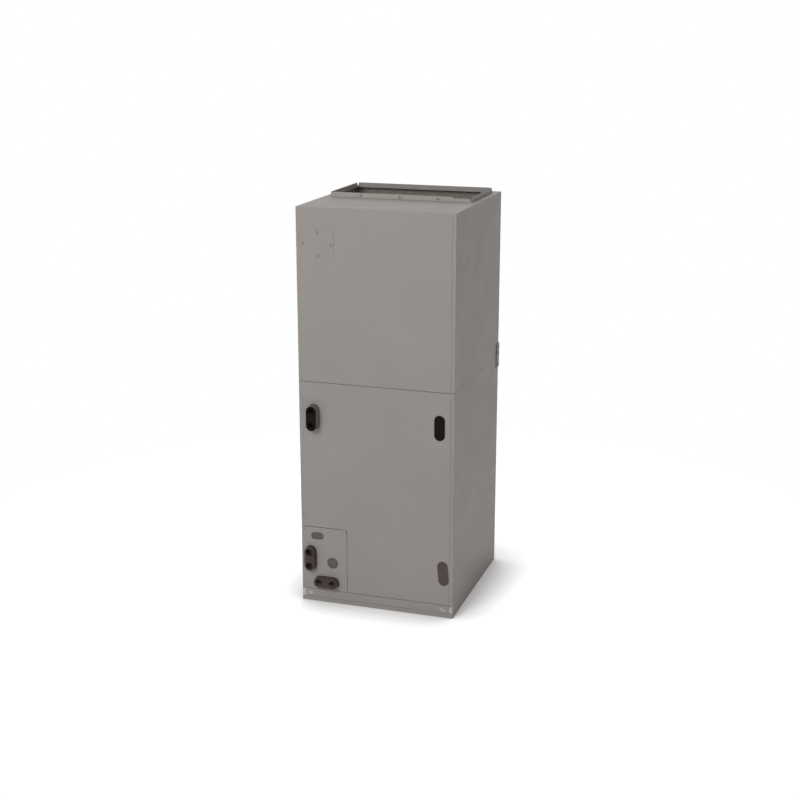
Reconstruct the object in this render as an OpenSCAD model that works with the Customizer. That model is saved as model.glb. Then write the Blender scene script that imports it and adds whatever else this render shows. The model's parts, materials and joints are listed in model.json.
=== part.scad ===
// Upright two-section air handler, in millimetres.
// Origin at the middle of the casing's footprint, on the floor.
// +X is to the right seen from the front, the doors face -Y, +Z is up.

/* [Casing] */
// Width of the casing
case_w = 536.6; // [530:0.1:620]
// Depth of the casing, from the raised faces of the doors to the back
case_d = 560.4; // [555:0.1:640]
// Height of the casing
case_h = 1357.3; // [1350:0.1:1500]
// Height of the seam between the coil section and the blower section
seam_z = 780; // [740:1:790]
// Thickness of the sheet steel
sheet = 1.2; // [0.8:0.1:1.4]
// Width of the flanges turned inwards along the front edges
front_flange = 12.6; // [11:0.1:13]
// Height of the lip along the foot of the front
base_lip_h = 14.5; // [10:0.5:14.5]
// Width of the return opening in the base
return_w = 470; // [380:1:480]
// Depth of the return opening in the base
return_d = 490; // [400:1:500]
// Height of the rim folded up around the return opening
return_rim_h = 12; // [6:1:13]
// Width of the cross rails behind the edges of the doors
rail_face = 14; // [8:1:16]
// Depth of the cross rails' webs
rail_web = 15; // [8:1:15]
// Thickness of the insulation on the walls
insulation = 12.7; // [6:0.1:13]
// Radius of the round knock-outs in the side sheets
knockout_r = 14; // [8:0.5:20]
// Height of the knock-outs above the heater deck
knockout_rise = 17; // [17:1:60]
// Width of the groove pressed around a knock-out
knockout_groove = 1.4; // [0.6:0.1:2]
// Depth of the groove pressed around a knock-out
knockout_depth = 0.4; // [0.2:0.1:0.6]
// Length of a leg of the rear corner brackets
bracket_leg = 30; // [20:1:40]
// Thickness of the rear corner brackets
bracket_t = 3; // [1.5:0.1:4]
// Height of the rear corner brackets
bracket_h = 87; // [60:1:120]

/* [Doors] */
// Depth by which the raised field of a door stands before its side strips
door_step = 1.2; // [0.8:0.1:1.2]
// Gap between neighbouring doors
door_gap = 1.6; // [1:0.1:3]
// Height of the top of the filter door above the floor
filter_door_top = 44; // [43:0.1:46]
// Width of the fitting panel, from the casing's left side to its split
fitting_w = 163.8; // [150:0.1:164]
// Height of the fitting panel
fitting_h = 225; // [214:1:260]
// Width of the seam strip on the coil panel, behind the fitting panel
backing_strip = 11; // [8:1:12]
// Width of the cover plate over the breaker opening
breaker_cover_w = 116; // [100:1:116]
// Height of the cover plate over the breaker opening
breaker_cover_h = 92; // [80:1:110]
// Thickness of the cover plate over the breaker opening
breaker_cover_t = 0.8; // [0.5:0.1:2]
// Distance from the raised field's left edge to the cover plate
breaker_cover_inset = 1; // [0:0.5:20]
// Distance from the casing's top to the top of the cover plate
breaker_cover_drop = 72; // [60:1:80]
// Border of the cover plate around its opening
breaker_cover_border = 18; // [14:1:24]
// Distance from the cover plate's edge to its screws
breaker_screw_inset = 8; // [6:0.5:9]

/* [Filter] */
// Width of the filter
filter_w = 495.3; // [480:0.1:496]
// Depth of the filter
filter_d = 520.7; // [500:0.1:530]
// Thickness of the filter
filter_t = 22; // [18:0.5:23]
// Width of the filter's card frame
filter_border = 18; // [12:1:24]
// Thickness of the filter's card
filter_card = 2; // [1:0.1:3]
// Number of pleats in the filter's medium
pleats = 30; // [10:1:40]
// Width of the ledges of the filter rails
filter_ledge = 14; // [8:1:16]
// Height of the gap above the filter in its rails
filter_head_room = 2; // [1:0.1:2.2]
// Width of the clips on the filter door
clip_w = 20; // [14:1:26]
// Height of the clips on the filter door
clip_h = 14; // [10:1:18]
// Thickness of the clips on the filter door
clip_t = 1.5; // [1:0.1:3]
// Distance from the filter door's end to a clip
clip_inset = 10; // [6:1:30]

/* [Drain pans] */
// Width of an oval drain boss
oval_w = 36; // [34:0.5:38]
// Length of an oval drain boss
oval_l = 85; // [80:0.5:90]
// Radius of the drain sockets
socket_r = 12.05; // [9:0.05:13]
// Depth of the drain sockets
socket_depth = 18; // [12:1:24]
// Wall of the drain pans
pan_wall = 3; // [2:0.5:4]
// Height of the main drain pan
pan_h = 46; // [45:1:50]
// Height of the main pan's boss above the pan's underside
pan_boss_rise = 27; // [24:0.5:28]
// Distance from the main pan's left edge to the centre of its boss
pan_boss_inset = 70; // [50:1:90]
// Distance by which the main pan's boss stands out of the front
pan_boss_out = 18; // [8:1:30]
// Width of the troughs along the main pan's sides
trough_side = 128; // [120:1:134]
// Width of the troughs along the main pan's front
trough_front = 112; // [60:1:120]
// Width of the trough along the main pan's back
trough_back = 60; // [40:1:70]
// Width of the side drain pan, across the casing
side_pan_w = 55; // [54:0.5:58]
// Height of the side drain pan
side_pan_h = 611; // [600:1:640]
// Depth of the side drain pan, front to back
side_pan_d = 481; // [440:1:490]
// Height of the upper boss above the floor
high_boss_z = 661; // [640:1:670]
// Distance by which the upper boss stands out of the front
high_boss_out = 30; // [20:1:40]
// Height of the lower boss above the floor
low_boss_z = 158; // [150:1:170]
// Distance by which the lower boss stands out of the front
low_boss_out = 20; // [10:1:30]
// Distance from the right strip to the centre of the upper plug
high_plug_inset = 36.7; // [24:0.1:60]
// Distance from the right strip to the centre of the lower plug
low_plug_inset = 21; // [21:0.1:60]
// Tilt of the lower plug, in degrees
low_plug_tilt = 5; // [0:0.5:6]
// Height of a plug's rim before the door
plug_rim_t = 1.6; // [1:0.1:3]
// Width of a plug's rim over the door around its hole
plug_rim_over = 2; // [1:0.5:3]
// Depth of a plug's cup behind the door's face
plug_cup_d = 9; // [5:0.5:11]

/* [Coil] */
// Length of a coil slab
slab_l = 560; // [500:1:565]
// Thickness of a coil slab
slab_t = 60; // [56:1:62]
// Depth of a coil slab, front to back
slab_d = 440; // [420:1:450]
// Lean of a coil slab, in degrees
slab_lean = 14; // [12:0.1:14]
// Distance from the middle to the foot of a slab
slab_foot_x = 169; // [168:1:172]
// Thickness of the tube sheets at the slabs' ends
tube_sheet = 1.5; // [1:0.1:2]
// Distance by which a tube sheet stands over its slab
tube_sheet_over = 2; // [1:0.5:3]
// Radius of the coil's tubes
tube_r = 4.8; // [3:0.1:5]
// Distance between the coil's tubes
tube_pitch = 25.4; // [22:0.1:28]
// Distance between the coil's two rows of tubes
row_pitch = 25.4; // [22:0.1:26]
// Number of return bends in a row
bends = 10; // [4:1:10]
// Width of the plate on top of the coil
top_plate_w = 140; // [134:1:160]
// Width of the arms from that plate to the side drain pan
top_arm_w = 24; // [12:1:40]

/* [Refrigerant lines] */
// Radius of the suction line
suction_r = 11.1; // [9:0.1:12]
// Radius of the liquid line
liquid_r = 4.8; // [3:0.1:6]
// Distance from the fitting panel's right edge to the suction line
suction_inset = 52.5; // [40:0.5:60]
// Height of the suction line above the floor
suction_z = 146; // [140:1:150]
// Distance from the fitting panel's right edge to the liquid line
liquid_inset = 106.5; // [100:0.5:112]
// Height of the liquid line above the floor
liquid_z = 239; // [236:1:244]
// Radius of the round grommet
grommet_r = 19.5; // [17:0.5:22]
// Length of the oblong grommet
oblong_l = 45; // [40:1:50]
// Width of the oblong grommet
oblong_w = 25; // [20:1:28]
// Thickness of the grommets before and behind the fitting panel
grommet_lip = 1; // [0.6:0.1:2]
// Radius of the feeder tubes
feeder_r = 2; // [1.5:0.1:2.2]
// Radius of the expansion valve's body
valve_r = 13; // [10:0.5:15]
// Length of the expansion valve's body
valve_l = 44; // [30:1:60]
// Radius of the distributor
distributor_r = 14; // [10:0.5:18]
// Height of the distributor
distributor_h = 34; // [24:1:44]

/* [Blower] */
// Radius of the blower wheel
wheel_r = 127; // [118:1:127]
// Width of the blower wheel
wheel_w = 228; // [200:1:240]
// Height of the wheel's blades
blade_h = 21; // [18:1:22]
// Thickness of the wheel's blades
blade_t = 1.2; // [1:0.1:2]
// Number of blades in the wheel
blades = 36; // [16:1:40]
// Distance between the wheel and the housing's sides
wheel_side_gap = 12; // [8:0.5:14]
// Distance between the wheel and the start of the scroll
scroll_gap = 8; // [6:0.5:10]
// Distance by which the scroll's radius grows
scroll_growth = 95; // [70:1:95]
// Angle at which the scroll starts, from the back, in degrees
cutoff_angle = 75; // [65:1:80]
// Border of the housing's sides around the scroll
housing_margin = 8; // [4:0.5:10]
// Height of the blower's outlet above its axis
outlet_rise = 152; // [148:1:156]
// Distance between the blower and the insulation behind it
blower_back_gap = 13.3; // [8:0.1:20]
// Distance between the blower's outlet and the heater deck
outlet_gap = 2.8; // [1.5:0.1:4]
// Width of the housing's flanges that ride on the rails
ride_flange = 22; // [16:1:26]
// Width of the rails' lips under those flanges
rail_lip = 14; // [10:1:15]
// Radius of the inlets in the housing's sides
inlet_r = 112; // [110:0.5:114]
// Radius of the motor
motor_r = 70; // [60:1:74]
// Length of the motor
motor_l = 105; // [90:1:115]
// Distance from the wheel's disc to the motor
motor_offset = 45; // [40:1:55]
// Radius of the motor's shaft
shaft_r = 6.35; // [5:0.05:8]
// Radius of the wheel's hub
hub_r = 20; // [16:0.5:26]
// Length of the wheel's hub
hub_l = 44; // [30:1:60]
// Thickness of the motor's mounting band
band_t = 2; // [1:0.1:3]
// Width of the motor's mounting band and arms
band_w = 20; // [14:1:26]
// Radius of the run capacitor
capacitor_r = 22; // [16:0.5:26]
// Height of the run capacitor
capacitor_h = 80; // [60:1:100]

/* [Heater section] */
// Height of the section above the heater deck
plenum_h = 192.3; // [170:0.1:196]
// Width of the supply opening
collar_w = 488; // [460:1:492]
// Depth of the supply opening
collar_d = 268; // [240:1:270]
// Distance from the casing's back to the supply opening
collar_back_inset = 34.2; // [30:0.1:40]
// Height of the collar around the supply opening
collar_h = 16; // [12:0.5:25]
// Slant of the ends of the collar's flanges
collar_slant = 6; // [3:0.5:10]
// Length of the low end of the front flange
collar_low_l = 63; // [40:1:80]
// Drop of the low end of the front flange
collar_low_drop = 4.5; // [1:0.5:6]
// Distance from the supply opening to the wall before it
heater_wall_gap = 18; // [16:1:24]
// Width of the opening for a heater in that wall
heater_opening_w = 300; // [250:1:340]
// Height of the opening for a heater in that wall
heater_opening_h = 130; // [100:1:135]
// Border of the cover over the heater's opening
heater_cover_border = 12; // [8:1:16]

/* [Controls] */
// Width of the control tray
tray_w = 190; // [180:1:200]
// Depth of the control tray, from the wall behind it
tray_d = 200; // [180:1:205]
// Height of the control tray above the heater deck
tray_rise = 24; // [16:1:28]
// Width of the circuit breaker
breaker_w = 50; // [40:1:60]
// Depth of the circuit breaker
breaker_d = 75; // [60:1:80]
// Height of the circuit breaker
breaker_h = 78; // [60:1:90]
// Width of the transformer
transformer_w = 58; // [44:1:64]
// Height of the transformer
transformer_h = 64; // [50:1:70]
// Width of the control board
board_w = 110; // [90:1:130]
// Height of the control board
board_h = 90; // [70:1:110]
// Thickness of the control board
board_t = 2; // [1.6:0.1:3]

/* [Fasteners] */
// Radius of the screws' shanks
screw_r = 2; // [1.5:0.1:2.5]
// Length of the screws' shanks
screw_l = 9; // [6:0.5:10]
// Radius of the screws' flanges
screw_flange_r = 5; // [4:0.1:5.5]
// Thickness of the screws' flanges
screw_flange_t = 0.9; // [0.6:0.1:1.4]
// Radius of the screws' hexagonal heads, over the corners
screw_head_r = 4; // [3:0.1:4.5]
// Height of the screws' heads
screw_head_h = 2.8; // [2:0.1:4]

/* [Hidden] */
$fn = 48;

// Colours
paint = [0.56, 0.54, 0.52];
zinc = [0.74, 0.75, 0.76];
foil = [0.36, 0.34, 0.33];
pan_black = [0.11, 0.10, 0.10];
pan_brown = [0.27, 0.23, 0.21];
copper = [0.72, 0.45, 0.32];
fin_silver = [0.80, 0.81, 0.82];
rubber_grey = [0.42, 0.41, 0.40];
motor_black = [0.16, 0.16, 0.17];
board_green = [0.12, 0.35, 0.24];
card = [0.78, 0.72, 0.62];
medium_white = [0.90, 0.91, 0.92];

// Clearances
seat_gap = 0.3;
pass_gap = 1.5;
screw_gap = 0.3;
shaft_gap = 0.05;
overrun = 1;

// Planes of the casing
half_w = case_w / 2;
half_d = case_d / 2;
front_y = -half_d;
back_y = half_d;
strip_y = front_y + door_step;
frame_y = strip_y + sheet;
rear_frame_y = frame_y + sheet;
inner_x = half_w - sheet;
inner_back_y = back_y - sheet;
flange_x = half_w - front_flange;
strip_screw_x = half_w - front_flange / 2;
liner_x = inner_x - insulation;
liner_back_y = inner_back_y - insulation;
under_top = case_h - sheet;

// Levels of the doors
coil_door_z = [filter_door_top + door_gap, seam_z - door_gap / 2];
blower_door_z = [seam_z + door_gap / 2, case_h];
filter_door_z = [base_lip_h + door_gap / 2, filter_door_top];
split_x = -half_w + fitting_w;
split_z = coil_door_z[0] + fitting_h;

// Levels of the filter and the drain pans
filter_ledge_drop = 0.5;
filter_ledge_z = base_lip_h + filter_ledge_drop;
filter_z = filter_ledge_z + sheet + seat_gap;
filter_y = [frame_y + rail_web, frame_y + rail_web + filter_d];
filter_side_gap = 2;
filter_web_x = filter_w / 2 + filter_side_gap;
pan_rail_rise = 3.7;
pan_rail_top = filter_door_top + pan_rail_rise;
pan_rail_leg = 42;
pan_rail_up = 10;
pan_z = pan_rail_top + seat_gap;
pan_top = pan_z + pan_h;
pan_side_gap = 7.7;
pan_x = flange_x - pan_side_gap;
pan_y = [frame_y + rail_web, liner_back_y - pan_side_gap];

// Section screws: heights above or below the seam
blower_screws_left = [12, 95];
blower_screws_right = [8, 65];
top_screw_drop = 93.3;
coil_screws_left = [57, 280, 480];
coil_screws_right = [11, 73, 380, 712];
fitting_screws = [20, 217];
screw_edge = 6;

// Draws a box from its two limits along each axis.
module box(x, y, z) {
    translate([x[0], y[0], z[0]])
        cube([x[1] - x[0], y[1] - y[0], z[1] - z[0]]);
}

// Extrudes an outline in x and z from the first y to the second.
module along_y(y) {
    translate([0, y[1], 0])
        rotate([90, 0, 0])
            linear_extrude(y[1] - y[0])
                children();
}

// Extrudes an outline in y and z from the first x to the second.
module along_x(x) {
    translate([x[0], 0, 0])
        rotate([90, 0, 90])
            linear_extrude(x[1] - x[0])
                children();
}

module rod_y(x, z, r, y) {
    translate([x, y[1], z])
        rotate([90, 0, 0])
            cylinder(r = r, h = y[1] - y[0]);
}

module rod_x(y, z, r, x) {
    translate([x[0], y, z])
        rotate([0, 90, 0])
            cylinder(r = r, h = x[1] - x[0]);
}

module both_sides() {
    children();
    mirror([1, 0, 0])
        children();
}

// Upright oval with round ends.
module oval(w, l) {
    square([w, l - w], center = true);
    for (s = [-1, 1])
        translate([0, s * (l - w) / 2])
            circle(d = w);
}

module oval_bar(x, z, w, l, y, turn = 0) {
    translate([x, 0, z])
        along_y(y)
            rotate(turn)
                oval(w, l);
}

// Screw with its seat at the origin, its head towards -Y.
module screw(l = screw_l) {
    rotate([90, 0, 0]) {
        translate([0, 0, -l])
            cylinder(r = screw_r, h = l);
        cylinder(r = screw_flange_r, h = screw_flange_t);
        translate([0, 0, screw_flange_t])
            cylinder(r = screw_head_r, h = screw_head_h, $fn = 6);
    }
}

module screw_hole(x, z, y) {
    rod_y(x, z, screw_r + screw_gap, [y[0] - overrun, y[1] + overrun]);
}

// One side sheet of the casing, on the right, with its flange along the front.
module side_sheet(z) {
    box([inner_x, half_w], [frame_y, back_y], z);
    box([flange_x, half_w], [frame_y, rear_frame_y], z);
}

// Formed door: a raised field with a set-back strip where it meets a side of the casing.
module formed_door(x, z) {
    box([max(x[0], -flange_x), min(x[1], flange_x)], [front_y, front_y + sheet], z);
    if (x[0] < -flange_x) {
        box([-flange_x, -flange_x + sheet], [front_y, frame_y], z);
        box([x[0], -flange_x + sheet], [strip_y, frame_y], z);
    }
    if (x[1] > flange_x) {
        box([flange_x - sheet, flange_x], [front_y, frame_y], z);
        box([flange_x - sheet, x[1]], [strip_y, frame_y], z);
    }
}

module strip_holes(heights, side, y) {
    for (z = heights)
        screw_hole(side * strip_screw_x, z, y);
}

module strip_screws(heights, side) {
    for (z = heights)
        translate([side * strip_screw_x, strip_y, z])
            screw();
}

blower_left_z = concat([for (rise = blower_screws_left) seam_z + rise], [case_h - top_screw_drop]);
blower_right_z = concat([for (rise = blower_screws_right) seam_z + rise], [case_h - top_screw_drop]);
coil_left_z = [for (drop = coil_screws_left) seam_z - drop];
coil_right_z = [for (drop = coil_screws_right) seam_z - drop];
fitting_left_z = [for (rise = fitting_screws) coil_door_z[0] + rise];
split_screw = [split_x - screw_edge, split_z - screw_edge - door_gap];

// Rear corner brackets: heights of their screws over the seam, and their place on a leg.
bracket_screw_share = [-0.36, 0.12, 0.36];
bracket_screws_z = [for (share = bracket_screw_share) seam_z + share * bracket_h];
bracket_screw_y = back_y - bracket_leg / 2;
bracket_screw_x = half_w - bracket_leg / 2;

// Draws its child at each bracket screw on the right, head outwards.
module at_bracket_screws() {
    for (z = bracket_screws_z) {
        translate([half_w + bracket_t, bracket_screw_y, z])
            rotate(90)
                children();
        translate([bracket_screw_x, back_y + bracket_t, z])
            rotate(180)
                children();
    }
}

module bracket_hole() {
    rotate([90, 0, 0])
        translate([0, 0, -bracket_t - sheet - overrun])
            cylinder(r = screw_r + screw_gap, h = bracket_t + sheet + 2 * overrun);
}

// Levels of the heater section
deck_z = case_h - plenum_h;
deck_top = deck_z + sheet;
collar_y = [back_y - collar_back_inset - collar_d, back_y - collar_back_inset];
collar_x = collar_w / 2;
wall_y = [collar_y[0] - heater_wall_gap, collar_y[0] - heater_wall_gap + sheet];
heater_opening_rise = 38;
heater_opening_z = [deck_z + heater_opening_rise, deck_z + heater_opening_rise + heater_opening_h];
collar_screw_share = [-0.28, 0, 0.27];

// Blower: its scroll starts at the cutoff and opens into an outlet under the heater deck.
housing_x = wheel_w / 2 + wheel_side_gap + sheet;
scroll_r0 = wheel_r + scroll_gap;
scroll_r1 = scroll_r0 + scroll_growth;
cutoff_y = scroll_r0 * cos(cutoff_angle);
outlet_z = deck_z - outlet_gap;
axis_z = outlet_z - outlet_rise;
axis_y = liner_back_y - blower_back_gap - housing_margin - scroll_r1;
scroll_steps = 48;
ride_l = 358;
ride_y = [scroll_r1 + housing_margin - ride_l, scroll_r1 + housing_margin];
bell_r = 9;
ring_rim = 9;
motor_x = [motor_offset, motor_offset + motor_l];

function scroll_point(i, add) =
    let (a = cutoff_angle + (360 - cutoff_angle) * i / scroll_steps)
    (scroll_r0 + scroll_growth * i / scroll_steps + add) * [cos(a), sin(a)];

// Corner where the cutoff's outer face meets the scroll's outer face.
function cutoff_corner(add) =
    [cutoff_y - add, sqrt(pow(scroll_r0 + add, 2) - pow(cutoff_y - add, 2))];

function scroll_outline(add) = concat(
    [[cutoff_y - add, outlet_rise], cutoff_corner(add)],
    [for (i = [1:scroll_steps]) scroll_point(i, add)],
    [[scroll_r1 + add, outlet_rise]]);

module at_blower() {
    translate([0, axis_y, axis_z])
        children();
}

// Casing of the coil section

module base_frame() {
    color(paint) {
        difference() {
            box([-inner_x, inner_x], [rear_frame_y, inner_back_y], [0, sheet]);
            box([-return_w / 2, return_w / 2], [-return_d / 2, return_d / 2], [-overrun, sheet + overrun]);
        }
        difference() {
            box([-return_w / 2 - sheet, return_w / 2 + sheet],
                [-return_d / 2 - sheet, return_d / 2 + sheet], [0, return_rim_h]);
            box([-return_w / 2, return_w / 2], [-return_d / 2, return_d / 2],
                [-overrun, return_rim_h + overrun]);
        }
        box([-half_w, half_w], [front_y, front_y + sheet], [0, base_lip_h]);
        box([-flange_x, flange_x], [front_y, rear_frame_y], [0, sheet]);
        box([-flange_x, flange_x], [front_y, rear_frame_y + sheet], [base_lip_h - sheet, base_lip_h]);
    }
}

module coil_right_side() {
    color(paint)
        difference() {
            side_sheet([0, seam_z]);
            strip_holes(coil_right_z, 1, [frame_y, rear_frame_y]);
            at_bracket_screws()
                bracket_hole();
        }
}

module coil_left_side() {
    color(paint)
        difference() {
            mirror([1, 0, 0])
                side_sheet([0, seam_z]);
            strip_holes(concat(coil_left_z, fitting_left_z), -1, [frame_y, rear_frame_y]);
            mirror([1, 0, 0])
                at_bracket_screws()
                    bracket_hole();
        }
}

module back_sheet(z) {
    color(paint)
        difference() {
            box([-inner_x, inner_x], [inner_back_y, back_y], z);
            both_sides()
                at_bracket_screws()
                    bracket_hole();
        }
}

module coil_back_panel() {
    back_sheet([0, seam_z]);
}

module cross_rail(z, web_z) {
    box([-flange_x, flange_x], [frame_y, rear_frame_y], z);
    box([-flange_x, flange_x], [frame_y, frame_y + rail_web], web_z);
}

rail_bar_t = 3;

module front_rails() {
    color(paint) {
        box([-flange_x, flange_x], [frame_y, frame_y + rail_web],
            [pan_rail_top - seat_gap - rail_bar_t, pan_rail_top - seat_gap]);
        cross_rail([seam_z - rail_face, seam_z - seat_gap], [seam_z - seat_gap - sheet, seam_z - seat_gap]);
        cross_rail([seam_z + seat_gap, seam_z + rail_face], [seam_z + seat_gap, seam_z + seat_gap + sheet]);
    }
}

// Casing of the blower section

module knockout_grooves() {
    knockout_share = [0.25, 0.49];
    for (share = knockout_share)
        translate([half_w - knockout_depth, front_y + share * case_d, deck_z + knockout_rise])
            rotate([0, 90, 0])
                difference() {
                    cylinder(r = knockout_r, h = knockout_depth + overrun);
                    translate([0, 0, -overrun])
                        cylinder(r = knockout_r - knockout_groove, h = knockout_depth + 3 * overrun);
                }
}

module blower_right_side() {
    color(paint)
        difference() {
            side_sheet([seam_z, under_top]);
            strip_holes(blower_right_z, 1, [frame_y, rear_frame_y]);
            at_bracket_screws()
                bracket_hole();
            knockout_grooves();
        }
}

module blower_left_side() {
    color(paint)
        difference() {
            mirror([1, 0, 0])
                side_sheet([seam_z, under_top]);
            strip_holes(blower_left_z, -1, [frame_y, rear_frame_y]);
            mirror([1, 0, 0]) {
                at_bracket_screws()
                    bracket_hole();
                knockout_grooves();
            }
        }
}

module blower_back_panel() {
    back_sheet([seam_z, under_top]);
}

module top_panel() {
    color(paint) {
        difference() {
            box([-half_w, half_w], [frame_y, back_y], [under_top, case_h]);
            box([-collar_x, collar_x], collar_y, [under_top - overrun, case_h + overrun]);
        }
        box([-flange_x, flange_x], [frame_y, rear_frame_y], [case_h - rail_face, case_h]);
    }
}

// Outline of a collar flange, with slanted ends.
function flange_outline(half) =
    [[-half, 0], [half, 0], [half - collar_slant, collar_h], [-half + collar_slant, collar_h]];

module collar_front() {
    low_h = collar_h - collar_low_drop;
    end_x = collar_x + sheet;
    color(paint)
        difference() {
            translate([0, 0, case_h])
                along_y([collar_y[0] - sheet, collar_y[0]])
                    polygon([[-end_x, 0], [end_x, 0], [end_x - collar_slant, low_h],
                        [end_x - collar_low_l, low_h], [end_x - collar_low_l, collar_h],
                        [-end_x + collar_slant, collar_h]]);
            for (share = collar_screw_share)
                screw_hole(share * collar_w, case_h + collar_h / 2, [collar_y[0] - sheet, collar_y[0]]);
        }
}

module collar_rear() {
    color(paint)
        translate([0, 0, case_h])
            along_y([collar_y[1], collar_y[1] + sheet])
                polygon(flange_outline(collar_x + sheet));
}

module collar_sides() {
    color(paint)
        both_sides()
            translate([0, (collar_y[0] + collar_y[1]) / 2, case_h])
                along_x([collar_x, collar_x + sheet])
                    polygon(flange_outline(collar_d / 2));
}

module heater_deck() {
    color(zinc)
        difference() {
            box([-inner_x, inner_x], [frame_y + rail_web, inner_back_y], [deck_z, deck_top]);
            box([-housing_x + sheet, housing_x - sheet], [axis_y + cutoff_y, axis_y + scroll_r1],
                [deck_z - overrun, deck_top + overrun]);
        }
}

module heater_cover_screws() {
    cover_x = heater_opening_w / 2 + heater_cover_border / 2;
    half_border = heater_cover_border / 2;
    for (x = [-cover_x, cover_x])
        for (z = [heater_opening_z[0] - half_border, heater_opening_z[1] + half_border])
            translate([x, wall_y[0] - sheet, z])
                children();
}

module heater_wall() {
    color(zinc)
        difference() {
            box([-inner_x, inner_x], wall_y, [deck_top, under_top]);
            box([-heater_opening_w / 2, heater_opening_w / 2], [wall_y[0] - overrun, wall_y[1] + overrun],
                heater_opening_z);
            heater_cover_screws()
                screw_hole(0, 0, [0, 2 * sheet]);
        }
}

module heater_cover() {
    reach_x = heater_opening_w / 2 + heater_cover_border;
    color(zinc)
        difference() {
            box([-reach_x, reach_x], [wall_y[0] - sheet, wall_y[0]],
                [heater_opening_z[0] - heater_cover_border, heater_opening_z[1] + heater_cover_border]);
            heater_cover_screws()
                screw_hole(0, 0, [0, 2 * sheet]);
        }
}

// Rails and brackets inside the casing

lip_top = outlet_z - sheet - seat_gap;
rail_x = housing_x + ride_flange + pass_gap;
rail_foot = 16;
long_rail_y = [frame_y + rail_web, liner_back_y];

module blower_rails() {
    color(zinc)
        both_sides() {
            box([rail_x, rail_x + sheet], long_rail_y, [lip_top - sheet, deck_z]);
            box([rail_x + sheet - rail_lip, rail_x + sheet], long_rail_y, [lip_top - sheet, lip_top]);
            box([rail_x, rail_x + rail_foot], long_rail_y, [deck_z - sheet, deck_z]);
        }
}

module pan_rails() {
    color(zinc)
        both_sides() {
            box([inner_x - pan_rail_leg, inner_x], [frame_y + rail_web, inner_back_y],
                [pan_rail_top - sheet, pan_rail_top]);
            box([inner_x - sheet, inner_x], [frame_y + rail_web, inner_back_y],
                [pan_rail_top, pan_rail_top + pan_rail_up]);
        }
}

upper_ledge_z = filter_z + filter_t + filter_head_room;

module filter_rails() {
    ledge_x = filter_web_x - filter_ledge;
    color(zinc)
        both_sides() {
            box([ledge_x, inner_x], [rear_frame_y, inner_back_y], [filter_ledge_z, filter_ledge_z + sheet]);
            box([ledge_x, filter_web_x + sheet], [rear_frame_y, inner_back_y],
                [upper_ledge_z, upper_ledge_z + sheet]);
            box([filter_web_x, filter_web_x + sheet], [strip_y, inner_back_y],
                [filter_ledge_z, upper_ledge_z + sheet]);
            box([filter_web_x, half_w], [strip_y, frame_y], [filter_ledge_z, upper_ledge_z + sheet]);
        }
}

module corner_brackets() {
    half_h = bracket_h / 2;
    color(paint)
        both_sides()
            difference() {
                union() {
                    box([half_w, half_w + bracket_t], [back_y - bracket_leg, back_y + bracket_t],
                        [seam_z - half_h, seam_z + half_h]);
                    box([half_w - bracket_leg, half_w + bracket_t], [back_y, back_y + bracket_t],
                        [seam_z - half_h, seam_z + half_h]);
                }
                at_bracket_screws()
                    bracket_hole();
            }
}

// Insulation on the walls

module wall_liner(z) {
    color(foil) {
        both_sides()
            box([liner_x, inner_x], [frame_y + rail_web, inner_back_y], z);
        box([-liner_x, liner_x], [liner_back_y, inner_back_y], z);
    }
}

liner_gap = 2;

module coil_liner() {
    wall_liner([pan_rail_top + pan_rail_up + liner_gap, seam_z - rail_face]);
}

module blower_liner() {
    wall_liner([seam_z + rail_face, deck_z - liner_gap]);
}

module plenum_liner() {
    color(foil)
        difference() {
            box([-inner_x, inner_x], [wall_y[1], inner_back_y], [deck_top, under_top]);
            box([-liner_x, liner_x], [wall_y[1] + insulation, liner_back_y],
                [deck_top - overrun, under_top + overrun]);
            box([-heater_opening_w / 2, heater_opening_w / 2],
                [wall_y[1] - overrun, wall_y[1] + insulation + overrun], heater_opening_z);
        }
}

// Controls before the heater's wall

tray_inset = 5;
tray_x = [-flange_x + tray_inset, -flange_x + tray_inset + tray_w];
tray_y = [wall_y[0] - tray_d, wall_y[0]];
tray_z = deck_top + tray_rise - sheet;
breaker_cover_x = [-flange_x + breaker_cover_inset, -flange_x + breaker_cover_inset + breaker_cover_w];
breaker_cover_z = [case_h - breaker_cover_drop - breaker_cover_h, case_h - breaker_cover_drop];
breaker_x = (breaker_cover_x[0] + breaker_cover_x[1]) / 2;

module control_tray() {
    color(zinc) {
        box(tray_x, tray_y, [tray_z - sheet, tray_z]);
        box([tray_x[0], tray_x[0] + sheet], tray_y, [deck_top, tray_z]);
        box([tray_x[1] - sheet, tray_x[1]], tray_y, [deck_top, tray_z]);
    }
}

module breaker() {
    front = tray_y[0] + pass_gap;
    toggle_l = 8;
    toggle_share = [0.15, 0.4];
    color(motor_black) {
        box([breaker_x - breaker_w / 2, breaker_x + breaker_w / 2], [front, front + breaker_d],
            [tray_z, tray_z + breaker_h]);
        both_sides_of(breaker_x)
            box(toggle_share * breaker_w, [front - toggle_l, front],
                [tray_z + breaker_h / 2, tray_z + breaker_h / 2 + toggle_l]);
    }
}

module both_sides_of(x) {
    translate([x, 0, 0])
        both_sides()
            children();
}

module transformer() {
    core_share = 0.3;
    x = [tray_x[1] - sheet - transformer_w, tray_x[1] - sheet];
    y = [tray_y[1] - sheet - pass_gap - transformer_w, tray_y[1] - sheet - pass_gap];
    core = core_share * transformer_w;
    color(motor_black) {
        box([x[0] + core, x[1] - core], y, [tray_z, tray_z + transformer_h]);
        box(x, [y[0] + core, y[1] - core], [tray_z, tray_z + transformer_h - core]);
    }
}

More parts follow.
